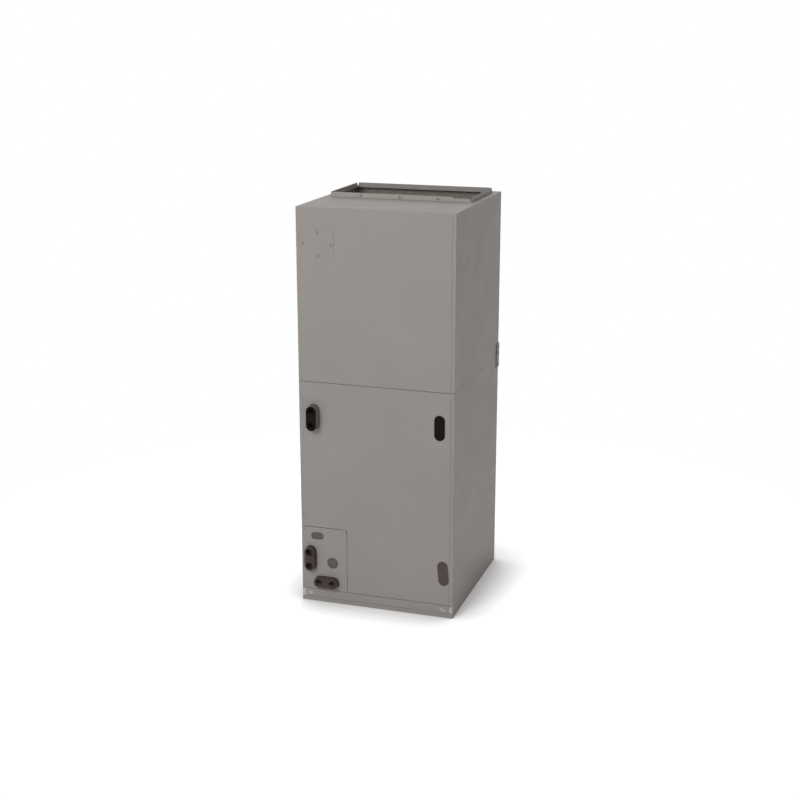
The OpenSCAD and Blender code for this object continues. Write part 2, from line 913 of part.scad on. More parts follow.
module control_board() {
    standoff_r = 3;
    standoff_l = 8;
    corner = 6;
    face_y = wall_y[0] - sheet;
    left = heater_opening_w / 2 - board_w;
    low = (heater_opening_z[0] + heater_opening_z[1] - board_h) / 2;
    back = face_y - standoff_l;
    relay_share = [0.1, 0.4, 0.7];
    relay_w_share = 0.2;
    relay_h_share = 0.3;
    color(board_green) {
        box([left, left + board_w], [back - board_t, back], [low, low + board_h]);
        for (x = [left + corner, left + board_w - corner])
            for (z = [low + corner, low + board_h - corner])
                rod_y(x, z, standoff_r, [back, face_y]);
        for (share = relay_share)
            box([left + share * board_w, left + (share + relay_w_share) * board_w],
                [back - board_t - 2 * standoff_l, back - board_t],
                [low + board_h / 2, low + (1 / 2 + relay_h_share) * board_h]);
    }
}

module casing_screws() {
    color(zinc) {
        both_sides()
            at_bracket_screws()
                screw(bracket_t + sheet);
        heater_cover_screws()
            screw(2 * sheet);
        for (share = collar_screw_share)
            translate([share * collar_w, collar_y[0] - sheet, case_h + collar_h / 2])
                screw(2 * sheet);
    }
}

// Blower

module bell_profile() {
    translate([inlet_r, housing_x - bell_r])
        intersection() {
            difference() {
                circle(r = bell_r);
                circle(r = bell_r - sheet);
            }
            translate([-bell_r, 0])
                square(bell_r);
        }
    translate([inlet_r - sheet / 2, housing_x - sheet])
        square([ring_rim + sheet / 2, sheet]);
}

// Side of the housing, on the right: its plate, the inlet ring set in it and the strip that rides on a rail.
module housing_side() {
    at_blower() {
        difference() {
            along_x([housing_x - sheet, housing_x]) {
                polygon(scroll_outline(housing_margin));
                translate([ride_y[0], 0])
                    square([ride_l, outlet_rise]);
            }
            rod_x(0, 0, inlet_r + ring_rim + seat_gap, [housing_x - sheet - overrun, housing_x + overrun]);
        }
        rotate([0, 90, 0])
            rotate_extrude()
                bell_profile();
        box([housing_x + seat_gap, housing_x + ride_flange], ride_y, [outlet_rise - sheet, outlet_rise]);
    }
}

module housing_right() {
    color(zinc)
        housing_side();
}

module housing_left() {
    color(zinc)
        mirror([1, 0, 0])
            housing_side();
}

module scroll_wrap() {
    inner = scroll_outline(0);
    outer = scroll_outline(sheet);
    last = len(outer) - 1;
    color(zinc)
        at_blower()
            along_x([-housing_x + sheet, housing_x - sheet])
                polygon(concat(inner, [for (i = [0:last]) outer[last - i]]));
}

shaft_seat = 22;

module motor() {
    bell_share = 0.12;
    rounding = bell_share * motor_l;
    color(motor_black)
        at_blower()
            difference() {
                union() {
                    rod_x(0, 0, motor_r, [motor_x[0] + rounding, motor_x[1] - rounding]);
                    rod_x(0, 0, motor_r - rounding, motor_x);
                    rod_x(0, 0, motor_r - rounding / 2,
                        [motor_x[0] + rounding / 2, motor_x[1] - rounding / 2]);
                }
                rod_x(0, 0, shaft_r + shaft_gap, [motor_x[0] - overrun, motor_x[0] + shaft_seat]);
            }
}

module motor_mount() {
    arms = 3;
    arm_overlap = 12;
    band_x = [housing_x - band_w / 2, housing_x + band_w / 2];
    inner_r = motor_r + screw_gap;
    color(zinc)
        at_blower() {
            difference() {
                rod_x(0, 0, inner_r + band_t, band_x);
                rod_x(0, 0, inner_r, [band_x[0] - overrun, band_x[1] + overrun]);
            }
            for (i = [0:arms - 1])
                rotate([60 + i * 360 / arms, 0, 0])
                    box([housing_x, housing_x + band_t], [inner_r + band_t / 2, inlet_r + arm_overlap],
                        [-band_w / 2, band_w / 2]);
        }
}

module run_capacitor() {
    cap_x = housing_x + capacitor_r + seat_gap;
    cap_z = lip_top - sheet - pass_gap - capacitor_r;
    cap_y = [axis_y + ride_y[0] + band_w, axis_y + ride_y[0] + band_w + capacitor_h];
    strap_y = [cap_y[0] + band_w, cap_y[0] + 2 * band_w];
    terminal_r = 3;
    terminal_l = 7;
    color(fin_silver) {
        rod_y(cap_x, cap_z, capacitor_r, cap_y);
        for (side = [-1, 1])
            rod_y(cap_x + side * capacitor_r / 2, cap_z, terminal_r, [cap_y[0] - terminal_l, cap_y[0]]);
        difference() {
            box([housing_x, cap_x], strap_y, [cap_z - capacitor_r - sheet, cap_z + capacitor_r + sheet]);
            box([housing_x + sheet, cap_x + overrun], [strap_y[0] - overrun, strap_y[1] + overrun],
                [cap_z - capacitor_r, cap_z + capacitor_r]);
        }
    }
}

// Forward-curved blade, from its root to its tip.
function blade_point(k, side) =
    let (share = k / blade_steps)
    let (r = wheel_r - blade_h + share * (blade_h - blade_tip_gap))
    let (a = blade_sweep * share * share + side * blade_t / r * 180 / PI)
    r * [cos(a), sin(a)];

blade_steps = 4;
blade_sweep = 12;
blade_tip_gap = 0.3;

module blower_wheel() {
    ring_share = 0.45;
    ring_w = 3;
    ring_in = wheel_r - ring_share * blade_h;
    color(zinc)
        at_blower() {
            along_x([-wheel_w / 2 + blade_t / 2, wheel_w / 2 - blade_t / 2])
                for (i = [0:blades - 1])
                    rotate(i * 360 / blades)
                        polygon(concat(
                            [for (k = [0:blade_steps]) blade_point(k, -1 / 2)],
                            [for (k = [0:blade_steps]) blade_point(blade_steps - k, 1 / 2)]));
            for (x = [-wheel_w / 2, wheel_w / 2 - ring_w])
                difference() {
                    rod_x(0, 0, wheel_r, [x, x + ring_w]);
                    rod_x(0, 0, ring_in, [x - overrun, x + ring_w + overrun]);
                }
            difference() {
                union() {
                    rod_x(0, 0, wheel_r, [-sheet, sheet]);
                    rod_x(0, 0, hub_r, [-hub_l / 2, hub_l / 2]);
                }
                rod_x(0, 0, shaft_r + shaft_gap, [-hub_l / 2 - overrun, hub_l / 2 + overrun]);
            }
        }
}

module wheel_shaft() {
    shaft_out = 6;
    color(fin_silver)
        at_blower()
            rod_x(0, 0, shaft_r, [-hub_l / 2 - shaft_out, motor_x[0] + shaft_seat - seat_gap]);
}

// Doors

panel_inset = 6;
panel_liner_x = flange_x - panel_inset;
panel_liner_y = [front_y + sheet, front_y + sheet + insulation];
breaker_hole_x = [breaker_cover_x[0] + breaker_cover_border, breaker_cover_x[1] - breaker_cover_border];
breaker_hole_z = [breaker_cover_z[0] + breaker_cover_border, breaker_cover_z[1] - breaker_cover_border];

// Places of the cover plate's screws, in x and z.
breaker_screws = [
    [breaker_cover_x[0] + breaker_screw_inset, (breaker_cover_z[0] + breaker_cover_z[1]) / 2],
    [breaker_cover_x[1] - breaker_screw_inset, (breaker_cover_z[0] + breaker_cover_z[1]) / 2],
    [breaker_x, breaker_cover_z[0] + breaker_screw_inset],
    [breaker_x, breaker_cover_z[1] - breaker_screw_inset]];

module breaker_hole(y) {
    box(breaker_hole_x, [y[0] - overrun, y[1] + overrun], breaker_hole_z);
}

module blower_panel() {
    color(paint)
        difference() {
            formed_door([-half_w, half_w], blower_door_z);
            strip_holes(blower_left_z, -1, [strip_y, frame_y]);
            strip_holes(blower_right_z, 1, [strip_y, frame_y]);
            breaker_hole([front_y, front_y + sheet]);
            for (p = breaker_screws)
                screw_hole(p[0], p[1], [front_y, front_y + sheet]);
        }
}

module blower_panel_insulation() {
    color(foil)
        difference() {
            box([-panel_liner_x, panel_liner_x], panel_liner_y,
                [seam_z + rail_face + panel_inset, case_h - rail_face - panel_inset]);
            breaker_hole(panel_liner_y);
            for (p = breaker_screws)
                rod_y(p[0], p[1], screw_flange_r, [panel_liner_y[0] - overrun, panel_liner_y[1] + overrun]);
        }
}

module breaker_cover() {
    color(paint)
        difference() {
            box(breaker_cover_x, [front_y - breaker_cover_t, front_y], breaker_cover_z);
            for (p = breaker_screws)
                screw_hole(p[0], p[1], [front_y - breaker_cover_t, front_y]);
        }
}

module blower_panel_screws() {
    color(zinc) {
        strip_screws(blower_left_z, -1);
        strip_screws(blower_right_z, 1);
        for (p = breaker_screws)
            translate([p[0], front_y - breaker_cover_t, p[1]])
                screw(breaker_cover_t + 2 * sheet);
    }
}

// Places of the plugs and drain bosses
plug_hole_w = oval_w - 2 * plug_rim_over;
plug_hole_l = oval_l - 2 * plug_rim_over;
high_plug_x = flange_x - high_plug_inset;
low_plug_x = flange_x - low_plug_inset;
side_pan_gap = 3.2;
side_pan_x = [-flange_x + side_pan_gap, -flange_x + side_pan_gap + side_pan_w];
side_pan_set_back = 16.8;
side_pan_y = [pan_y[0] + side_pan_set_back, pan_y[0] + side_pan_set_back + side_pan_d];
low_boss_x = side_pan_x[0] + oval_w / 2;
high_boss_x = side_pan_x[1] - screw_gap - oval_w / 2;
pan_boss_x = -pan_x + pan_boss_inset;
pan_boss_z = pan_z + pan_boss_rise;
suction_x = split_x - suction_inset;
liquid_x = split_x - liquid_inset;

module plug_holes(grow, y) {
    w = plug_hole_w + 2 * grow;
    l = plug_hole_l + 2 * grow;
    cut = [y[0] - overrun, y[1] + overrun];
    oval_bar(high_plug_x, high_boss_z, w, l, cut);
    oval_bar(low_plug_x, low_boss_z, w, l, cut, low_plug_tilt);
}

module boss_hole(x, z, y, turn = 0) {
    oval_bar(x, z, oval_w + 2 * pass_gap, oval_l + 2 * pass_gap, [y[0] - overrun, y[1] + overrun], turn);
}

module coil_panel() {
    color(paint)
        difference() {
            union() {
                difference() {
                    formed_door([-half_w, half_w], coil_door_z);
                    box([-half_w - overrun, split_x + door_gap / 2], [front_y - overrun, frame_y + overrun],
                        [coil_door_z[0] - overrun, split_z + door_gap / 2]);
                }
                box([split_x - backing_strip, split_x + door_gap], [front_y + sheet, front_y + 2 * sheet],
                    [coil_door_z[0], split_z + door_gap]);
            }
            strip_holes(coil_left_z, -1, [strip_y, frame_y]);
            strip_holes(coil_right_z, 1, [strip_y, frame_y]);
            screw_hole(split_screw[0], split_screw[1], [front_y, front_y + 2 * sheet]);
            plug_holes(0, [front_y, front_y + sheet]);
            boss_hole(high_boss_x, high_boss_z, [front_y, front_y + sheet]);
        }
}

module coil_panel_insulation() {
    low = coil_door_z[0] + panel_inset;
    color(foil)
        difference() {
            box([-panel_liner_x, panel_liner_x], panel_liner_y, [low, seam_z - rail_face - panel_inset]);
            box([-panel_liner_x - overrun, split_x + panel_inset], [front_y, panel_liner_y[1] + overrun],
                [low - overrun, split_z + panel_inset]);
            plug_holes(pass_gap, panel_liner_y);
            boss_hole(high_boss_x, high_boss_z, panel_liner_y);
        }
}

module socket_plug() {
    dimple_share = 0.5;
    oval_bar(0, 0, plug_hole_w - 2 * screw_gap, plug_hole_l - 2 * screw_gap, [front_y, front_y + plug_cup_d]);
    difference() {
        oval_bar(0, 0, oval_w, oval_l, [front_y - plug_rim_t, front_y]);
        for (side = [-1, 1])
            rod_y(0, side * (oval_l - oval_w) / 2, socket_r,
                [front_y - plug_rim_t - overrun, front_y - dimple_share * plug_rim_t]);
    }
}

module socket_plugs() {
    color(pan_black)
        translate([high_plug_x, 0, high_boss_z])
            socket_plug();
    color(pan_brown)
        translate([low_plug_x, 0, low_boss_z])
            rotate([0, -low_plug_tilt, 0])
                socket_plug();
}

module coil_panel_screws() {
    color(zinc) {
        strip_screws(coil_left_z, -1);
        strip_screws(coil_right_z, 1);
    }
}

module fitting_panel() {
    y = [front_y, front_y + sheet];
    color(paint)
        difference() {
            formed_door([-half_w, split_x - door_gap / 2], [coil_door_z[0], split_z - door_gap / 2]);
            strip_holes(fitting_left_z, -1, [strip_y, frame_y]);
            screw_hole(split_screw[0], split_screw[1], y);
            boss_hole(low_boss_x, low_boss_z, y);
            boss_hole(pan_boss_x, pan_boss_z, y, 90);
            rod_y(suction_x, suction_z, grommet_r - plug_rim_over, [y[0] - overrun, y[1] + overrun]);
            oval_bar(liquid_x, liquid_z, oblong_w - 2 * plug_rim_over, oblong_l - 2 * plug_rim_over,
                [y[0] - overrun, y[1] + overrun], 90);
        }
}

module line_grommets() {
    front = front_y - grommet_lip;
    back = front_y + sheet + grommet_lip;
    fit = plug_rim_over + screw_gap;
    dish = 2 * plug_rim_over;
    color(rubber_grey) {
        difference() {
            rod_y(suction_x, suction_z, grommet_r, [front, front_y]);
            rod_y(suction_x, suction_z, grommet_r - dish, [front - overrun, front + grommet_lip / 2]);
        }
        rod_y(suction_x, suction_z, grommet_r - fit, [front_y, back]);
        difference() {
            oval_bar(liquid_x, liquid_z, oblong_w, oblong_l, [front, front_y], 90);
            oval_bar(liquid_x, liquid_z, oblong_w - 2 * dish, oblong_l - 2 * dish,
                [front - overrun, front + grommet_lip / 2], 90);
        }
        oval_bar(liquid_x, liquid_z, oblong_w - 2 * fit, oblong_l - 2 * fit, [front_y, back], 90);
    }
}

module fitting_panel_screws() {
    color(zinc) {
        strip_screws(fitting_left_z, -1);
        translate([split_screw[0], front_y, split_screw[1]])
            screw(3 * sheet);
    }
}

// Coil, with its drain pans and lines

slab_set_back = 58.8;
slab_y = [pan_y[0] + slab_set_back, pan_y[0] + slab_set_back + slab_d];
slab_half = slab_t / 2 + tube_sheet_over;
slab_foot_z = pan_z + pan_wall + seat_gap + slab_half * sin(slab_lean);
slab_top_z = slab_foot_z + slab_l * cos(slab_lean) + slab_half * sin(slab_lean);

// Places its child, drawn upright, on the right slab.
module at_slab() {
    translate([slab_foot_x, 0, slab_foot_z])
        rotate([0, -slab_lean, 0])
            children();
}

// Point of the right slab in x and z, from its distances across and up the slab.
function on_slab(across, up) =
    [slab_foot_x + across * cos(slab_lean) - up * sin(slab_lean),
        slab_foot_z + across * sin(slab_lean) + up * cos(slab_lean)];

// Inner face of the right slab's tube sheets at a height.
function slab_inner_x(z) =
    slab_foot_x - (z - slab_foot_z) * tan(slab_lean) - slab_half / cos(slab_lean) - seat_gap;

module slab_right() {
    color(fin_silver)
        at_slab() {
            box([-slab_t / 2, slab_t / 2], [slab_y[0] + tube_sheet, slab_y[1] - tube_sheet], [0, slab_l]);
            for (y = [slab_y[0], slab_y[1] - tube_sheet])
                box([-slab_half, slab_half], [y, y + tube_sheet], [0, slab_l]);
        }
}

module slab_left() {
    mirror([1, 0, 0])
        slab_right();
}

// Return bend between two tubes, one above the other, opening away from the slab.
module return_bend() {
    rotate([0, -90, 0])
        rotate_extrude(angle = 180)
            translate([tube_pitch / 2, 0])
                circle(r = tube_r);
}

module return_bends() {
    color(copper)
        both_sides()
            at_slab()
                for (across = [-row_pitch / 2, row_pitch / 2])
                    for (i = [0:bends - 1]) {
                        up = (2 * i + 3 / 2) * tube_pitch;
                        translate([across, slab_y[1], up])
                            return_bend();
                        translate([across, slab_y[0], up])
                            mirror([0, 1, 0])
                                return_bend();
                    }
}

module delta_plates() {
    tip = 4;
    low = pan_z + pan_wall + seat_gap;
    high = slab_foot_z + (slab_foot_x - slab_half / cos(slab_lean) - seat_gap - tip) / tan(slab_lean);
    color(zinc)
        for (y = [slab_y[0], slab_y[1] - sheet])
            along_y([y, y + sheet])
                polygon([[-slab_inner_x(low), low], [slab_inner_x(low), low], [tip, high], [-tip, high]]);
}

module coil_top_plate() {
    z = [slab_top_z + seat_gap, slab_top_z + seat_gap + sheet];
    tab_h = 22;
    color(zinc) {
        box([-top_plate_w / 2, top_plate_w / 2], [side_pan_y[0], slab_y[1]], z);
        for (y = [side_pan_y[0], side_pan_y[1] - top_arm_w]) {
            box([side_pan_x[1], -top_plate_w / 2], [y, y + top_arm_w], z);
            box([side_pan_x[1], side_pan_x[1] + sheet], [y, y + top_arm_w], [z[0] - tab_h, z[1]]);
        }
    }
}

// Two drain sockets side by side, up the boss, cut from its front face.
module boss_sockets(x, z, front, turn = 0) {
    translate([x, 0, z])
        rotate([0, -turn, 0])
            for (side = [-1, 1])
                rod_y(0, side * (oval_l - oval_w) / 2, socket_r, [front - overrun, front + socket_depth]);
}

module drain_pan() {
    front = front_y - pan_boss_out;
    hole_x = pan_x - trough_side;
    hole_y = [pan_y[0] + trough_front, pan_y[1] - trough_back];
    color(pan_brown)
        difference() {
            union() {
                difference() {
                    box([-pan_x, pan_x], pan_y, [pan_z, pan_top]);
                    box([-pan_x + pan_wall, pan_x - pan_wall], [pan_y[0] + pan_wall, pan_y[1] - pan_wall],
                        [pan_z + pan_wall, pan_top + overrun]);
                }
                box([-hole_x - pan_wall, hole_x + pan_wall], [hole_y[0] - pan_wall, hole_y[1] + pan_wall],
                    [pan_z, pan_top]);
            }
            box([-hole_x, hole_x], hole_y, [pan_z - overrun, pan_top + overrun]);
        }
    color(pan_brown)
        difference() {
            oval_bar(pan_boss_x, pan_boss_z, oval_w, oval_l, [front, pan_y[0] - seat_gap], 90);
            boss_sockets(pan_boss_x, pan_boss_z, front, 90);
        }
}

module side_drain_pan() {
    z = [pan_top, pan_top + side_pan_h];
    high_front = front_y - high_boss_out;
    low_front = front_y - low_boss_out;
    color(pan_black)
        difference() {
            box(side_pan_x, side_pan_y, z);
            box([side_pan_x[0] + pan_wall, side_pan_x[1] + overrun],
                [side_pan_y[0] + pan_wall, side_pan_y[1] - pan_wall],
                [z[0] + pan_wall, z[1] - pan_wall]);
        }
    color(pan_black) {
        difference() {
            oval_bar(high_boss_x, high_boss_z, oval_w, oval_l, [high_front, side_pan_y[0] - seat_gap]);
            boss_sockets(high_boss_x, high_boss_z, high_front);
        }
        difference() {
            oval_bar(low_boss_x, low_boss_z, oval_w, oval_l, [low_front, side_pan_y[0] - seat_gap]);
            boss_sockets(low_boss_x, low_boss_z, low_front);
        }
    }
}

// How far a soldered bead stands proud of its tube.
bead_over = 0.4;

header_forward = 32;
header_y = slab_y[0] - header_forward;
header_across = 10;
header_up = [36, 380];
header_over = 1.5;
header_r = suction_r + header_over;
line_set_back = 4.5;
line_end_y = front_y + line_set_back;

module suction_manifold() {
    stub_across = 22.6;
    stub_share = [0.1, 0.35, 0.6, 0.85];
    crossing_rise = 20;
    crossing = on_slab(header_across, header_up[0] + crossing_rise);
    header_at = on_slab(header_across,
        (suction_z - slab_foot_z - header_across * sin(slab_lean)) / cos(slab_lean));
    tube_wall = 1.1;
    socket_l = 12;
    color(copper)
        difference() {
            union() {
                both_sides()
                    at_slab() {
                        translate([header_across, header_y, header_up[0]])
                            cylinder(r = header_r, h = header_up[1] - header_up[0]);
                        for (share = stub_share)
                            rod_y(stub_across, header_up[0] + share * (header_up[1] - header_up[0]),
                                tube_r, [header_y, slab_y[0]]);
                    }
                rod_x(header_y, crossing[1], suction_r, [-crossing[0], crossing[0]]);
                rod_y(suction_x, suction_z, suction_r, [line_end_y, header_y]);
                translate([suction_x, header_y, suction_z])
                    sphere(r = suction_r + bead_over);
                rod_x(header_y, suction_z, suction_r - bead_over,
                    [min(suction_x, -header_at[0]), max(suction_x, -header_at[0])]);
            }
            rod_y(suction_x, suction_z, suction_r - tube_wall, [line_end_y - overrun, line_end_y + socket_l]);
        }
}

// Round tube through a list of points, with a soldered bead at each corner.
module pipe(points, r) {
    for (i = [1:len(points) - 1]) {
        step = points[i] - points[i - 1];
        translate(points[i - 1])
            rotate([0, acos(step[2] / norm(step)), atan2(step[1], step[0])])
                cylinder(r = r, h = norm(step));
        if (i < len(points) - 1)
            translate(points[i])
                sphere(r = r + bead_over);
    }
}

liquid_forward = 10;
liquid_y = side_pan_y[0] - liquid_forward;
valve_back = 6;
valve_y = liquid_y + valve_back;
valve_left = 76;
valve_x = -valve_left;
distributor_left = 66;
distributor_x = -distributor_left;
distributor_z = 300;

module expansion_valve() {
    head_over = 1.5;
    head_w = 10;
    right = valve_x + valve_l / 2;
    color(copper) {
        pipe([[liquid_x, line_end_y, liquid_z], [liquid_x, liquid_y, liquid_z],
            [valve_x, liquid_y, liquid_z]], liquid_r);
        pipe([[distributor_x, valve_y, liquid_z], [distributor_x, valve_y, distributor_z]], liquid_r);
    }
    color(zinc) {
        rod_x(valve_y, liquid_z, valve_r, [valve_x - valve_l / 2, right]);
        rod_x(valve_y, liquid_z, valve_r + head_over, [right, right + head_w]);
    }
}

module distributor() {
    top = distributor_z + distributor_h;
    spread = 5;
    feeder_inward = 5.2;
    feeder_across = -feeder_inward;
    low_up = 300;
    high_up = 420;
    low = on_slab(feeder_across, low_up);
    high = on_slab(feeder_across, high_up);
    sink = 3;
    color(copper) {
        translate([distributor_x, valve_y, distributor_z])
            cylinder(r1 = distributor_r / 2, r2 = distributor_r, h = distributor_h);
        for (end = [[-1, -1, low], [-1, 1, high], [1, 1, low], [1, -1, high]]) {
            start = [distributor_x + end[0] * spread, valve_y + end[1] * spread];
            x = end[0] * end[2][0];
            z = end[2][1];
            pipe([[start[0], start[1], top - sink], [start[0], start[1], z], [x, start[1], z],
                [x, slab_y[0], z]], feeder_r);
        }
    }
}

// Filter and its door

module filter_frame() {
    inner_x = filter_w / 2 - filter_border;
    inner_y = [filter_y[0] + filter_border, filter_y[1] - filter_border];
    color(card)
        difference() {
            box([-filter_w / 2, filter_w / 2], filter_y, [filter_z, filter_z + filter_t]);
            box([-filter_w / 2 + filter_card, filter_w / 2 - filter_card],
                [filter_y[0] + filter_card, filter_y[1] - filter_card],
                [filter_z + filter_card, filter_z + filter_t - filter_card]);
            box([-inner_x, inner_x], inner_y, [filter_z - overrun, filter_z + filter_t + overrun]);
        }
}

module filter_media() {
    inner_t = filter_t - 2 * filter_card;
    fold = 3;
    media_x = filter_w / 2 - filter_card;
    media_y = [filter_y[0] + filter_card, filter_y[1] - filter_card];
    step = (media_y[1] - media_y[0]) / pleats;
    low = [for (i = [0:pleats]) [media_y[0] + i * step, (i % 2) * (inner_t - fold)]];
    color(medium_white)
        translate([0, 0, filter_z + filter_card])
            along_x([-media_x, media_x])
                polygon(concat(low, [for (i = [0:pleats]) low[pleats - i] + [0, fold]]));
}

module filter_door() {
    door_x = flange_x - screw_gap;
    grip_h = 3;
    color(paint) {
        box([-door_x, door_x], [front_y, front_y + sheet], filter_door_z);
        box([-filter_web_x + pass_gap, filter_web_x - pass_gap], [front_y, frame_y + grip_h],
            [filter_door_z[1] - sheet, filter_door_z[1]]);
    }
}

module filter_clips() {
    knob_r = 4;
    knob_l = 2.5;
    mid_z = (filter_door_z[0] + filter_door_z[1]) / 2;
    right = flange_x - clip_inset;
    color(zinc)
        both_sides() {
            box([right - clip_w, right], [front_y - clip_t, front_y],
                [mid_z - clip_h / 2, mid_z + clip_h / 2]);
            rod_y(right - clip_w / 2, mid_z, knob_r, [front_y - clip_t - knob_l, front_y - clip_t]);
        }
}

base_frame();
coil_left_side();
coil_right_side();
coil_back_panel();
front_rails();
blower_left_side();
blower_right_side();
blower_back_panel();
top_panel();
collar_front();
collar_rear();
collar_sides();
heater_deck();
heater_wall();
heater_cover();
blower_rails();
pan_rails();
filter_rails();
corner_brackets();
coil_liner();
blower_liner();
plenum_liner();
control_tray();
control_board();
transformer();
breaker();
casing_screws();
housing_left();
housing_right();
scroll_wrap();
motor();
motor_mount();
run_capacitor();
blower_wheel();
wheel_shaft();
blower_panel();
blower_panel_insulation();
breaker_cover();
blower_panel_screws();
coil_panel();
coil_panel_insulation();
socket_plugs();
coil_panel_screws();
fitting_panel();
line_grommets();
fitting_panel_screws();
slab_left();
slab_right();
return_bends();
delta_plates();
coil_top_plate();
drain_pan();
side_drain_pan();
suction_manifold();
expansion_valve();
distributor();
filter_frame();
filter_media();
filter_door();
filter_clips();
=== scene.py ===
"""An upright two-section air handler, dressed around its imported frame.

Lengths are in metres. The doors face -Y and the floor is at z = 0.
"""

import json
import math

import bmesh
import bpy
from mathutils import Euler, Matrix, Vector

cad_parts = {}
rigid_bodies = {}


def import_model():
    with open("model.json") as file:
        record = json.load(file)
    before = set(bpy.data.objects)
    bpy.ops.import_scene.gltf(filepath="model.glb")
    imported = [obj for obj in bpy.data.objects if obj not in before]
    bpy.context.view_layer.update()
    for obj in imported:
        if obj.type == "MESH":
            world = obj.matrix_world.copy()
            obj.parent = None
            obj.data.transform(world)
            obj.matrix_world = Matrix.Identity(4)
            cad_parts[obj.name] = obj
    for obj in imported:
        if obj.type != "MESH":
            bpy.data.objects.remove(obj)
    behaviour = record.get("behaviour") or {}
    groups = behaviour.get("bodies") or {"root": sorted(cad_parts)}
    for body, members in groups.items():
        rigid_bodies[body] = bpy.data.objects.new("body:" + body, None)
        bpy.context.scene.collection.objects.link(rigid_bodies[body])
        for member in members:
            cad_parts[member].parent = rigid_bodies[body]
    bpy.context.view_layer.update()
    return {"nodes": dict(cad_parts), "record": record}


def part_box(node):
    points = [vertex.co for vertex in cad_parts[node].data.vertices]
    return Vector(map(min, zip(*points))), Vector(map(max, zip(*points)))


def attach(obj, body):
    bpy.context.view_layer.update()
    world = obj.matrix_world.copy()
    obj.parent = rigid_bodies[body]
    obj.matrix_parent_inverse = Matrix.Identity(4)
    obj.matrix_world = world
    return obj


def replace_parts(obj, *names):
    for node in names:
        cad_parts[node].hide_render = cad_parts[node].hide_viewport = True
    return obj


bl_info = {
    "name": "Air handler dressing",
    "version": (1, 0, 0),
    "blender": (4, 5, 0),
    "location": "View3D > Sidebar > Air handler",
    "description": "Builds the visible pieces, the finishes and the stage of an air handler",
    "category": "Object",
}

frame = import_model()

MM = 0.001
BODIES = frame["record"]["behaviour"]["bodies"]
BODY_OF = {node: body for body, nodes in BODIES.items() for node in nodes}

# Sheets whose cut and folded edges are softened, by finish, with that softening's width in millimetres.
SOFT_SHEETS = {
    "paint": {
        "base_frame": 0.5, "top_panel": 0.5, "collar_rear": 0.4, "collar_sides": 0.4, "blower_panel": 0.5,
        "breaker_cover": 0.3, "coil_panel": 0.5, "fitting_panel": 0.5, "filter_door": 0.5},
    # These sheets take the darker case enamel, which paints the shade on the sides and back.
    "case": {
        "coil_left_side": 0.7, "coil_right_side": 0.7, "coil_back_panel": 0.7, "blower_left_side": 0.6,
        "blower_right_side": 0.6, "blower_back_panel": 0.7, "corner_brackets": 0.8},
    # The collar's front takes the lighter collar enamel, which paints light on it.
    "collar": {"collar_front": 0.4},
    "zinc": {"control_tray": 0.4, "heater_cover": 0.4, "coil_top_plate": 0.4},
}
MOULDED = {"drain_pan": 1.0, "side_drain_pan": 1.0, "socket_plugs": 0.6, "line_grommets": 0.35}
BLANKETS = (
    "coil_liner", "blower_liner", "plenum_liner", "blower_panel_insulation", "coil_panel_insulation")
BORES = [mount for mount in frame["record"]["mounts"] if mount["kind"] == "bore"]
SCREW_NODES = ("casing_screws", "blower_panel_screws", "coil_panel_screws", "fitting_panel_screws")


# Settings

def colour_setting(name, description, default):
    return bpy.props.FloatVectorProperty(
        name=name, description=description, subtype="COLOR", default=default, min=0, max=1)


def number_setting(name, description, default, low, high, **kind):
    return bpy.props.FloatProperty(
        name=name, description=description, default=default, min=low, max=high, **kind)


def length_setting(*values):
    return number_setting(*values, subtype="DISTANCE", unit="LENGTH")


def power_setting(name, description, default):
    return bpy.props.FloatProperty(name=name, description=description, default=default, unit="POWER")


def angle_setting(name, description, degrees):
    return bpy.props.FloatProperty(
        name=name, description=description, default=math.radians(degrees), subtype="ANGLE")


class AirHandlerFinish(bpy.types.PropertyGroup):
    paint: colour_setting("Paint", "Colour of the baked enamel", (0.302, 0.279, 0.26))
    # A darker copy of the paint for the side and back sheets: painted shade, as they are the same enamel
    # turned from the light.
    shaded_case_paint: colour_setting(
        "Case paint", "Colour of the enamel on the side and back sheets", (0.262, 0.226, 0.21))
    pan_black: colour_setting("Upper pan", "Colour of the side drain pan", (0.005, 0.0038, 0.0032))
    pan_brown: colour_setting("Lower pan", "Colour of the main drain pan", (0.062, 0.046, 0.04))
    peel: number_setting("Orange peel", "Strength of the enamel's ripple", 0.05, 0, 1)
    softening: number_setting("Softening", "Share of each sheet's edge softening", 1.0, 0.1, 1.5)


class AirHandlerDetail(bpy.types.PropertyGroup):
    fin_pitch: length_setting("Fin pitch", "Distance between the coil's fins", 0.0029, 0.002, 0.01)
    fin_thickness: length_setting("Fin thickness", "Thickness of a fin", 0.0004, 0.0001, 0.001)
    thread_pitch: length_setting("Thread pitch", "Pitch of the sockets' threads", 0.0018, 0.001, 0.004)
    thread_depth: length_setting("Thread depth", "Depth of those threads", 0.001, 0.0004, 0.002)
    pin_spacing: length_setting("Pin spacing", "Distance between the insulation's pins", 0.2, 0.08, 0.4)
    pleat_step: length_setting("Pleat step", "Distance between the filter's pleats", 0.0115, 0.006, 0.03)


class AirHandlerStage(bpy.types.PropertyGroup):
    lens: number_setting("Lens", "Focal length in millimetres", 63.9, 20, 200)
    camera_place: bpy.props.FloatVectorProperty(
        name="Camera", description="Place of the camera", default=(1.462, -4.490, 1.993),
        subtype="TRANSLATION", unit="LENGTH")
    pan_angle: angle_setting("Pan", "Turn of the camera about the vertical", 18.12)
    tilt_angle: angle_setting("Tilt", "Downward tilt of the camera", 15.74)
    key_power: power_setting("Key", "Power of the large front lamp", 100)
    fill_power: power_setting("Fill", "Power of the right lamp", 2)
    top_power: power_setting("Top", "Power of the overhead lamp", 3)
    back_power: power_setting("Back", "Power of the lamp behind", 40)
    sky: number_setting("Sky", "Strength of the even light", 0.4, 0, 2)
    floor_glow: number_setting(
        "Floor glow", "How far the floor is lifted to white in the picture", 0.66, 0, 1)


# Shader helpers

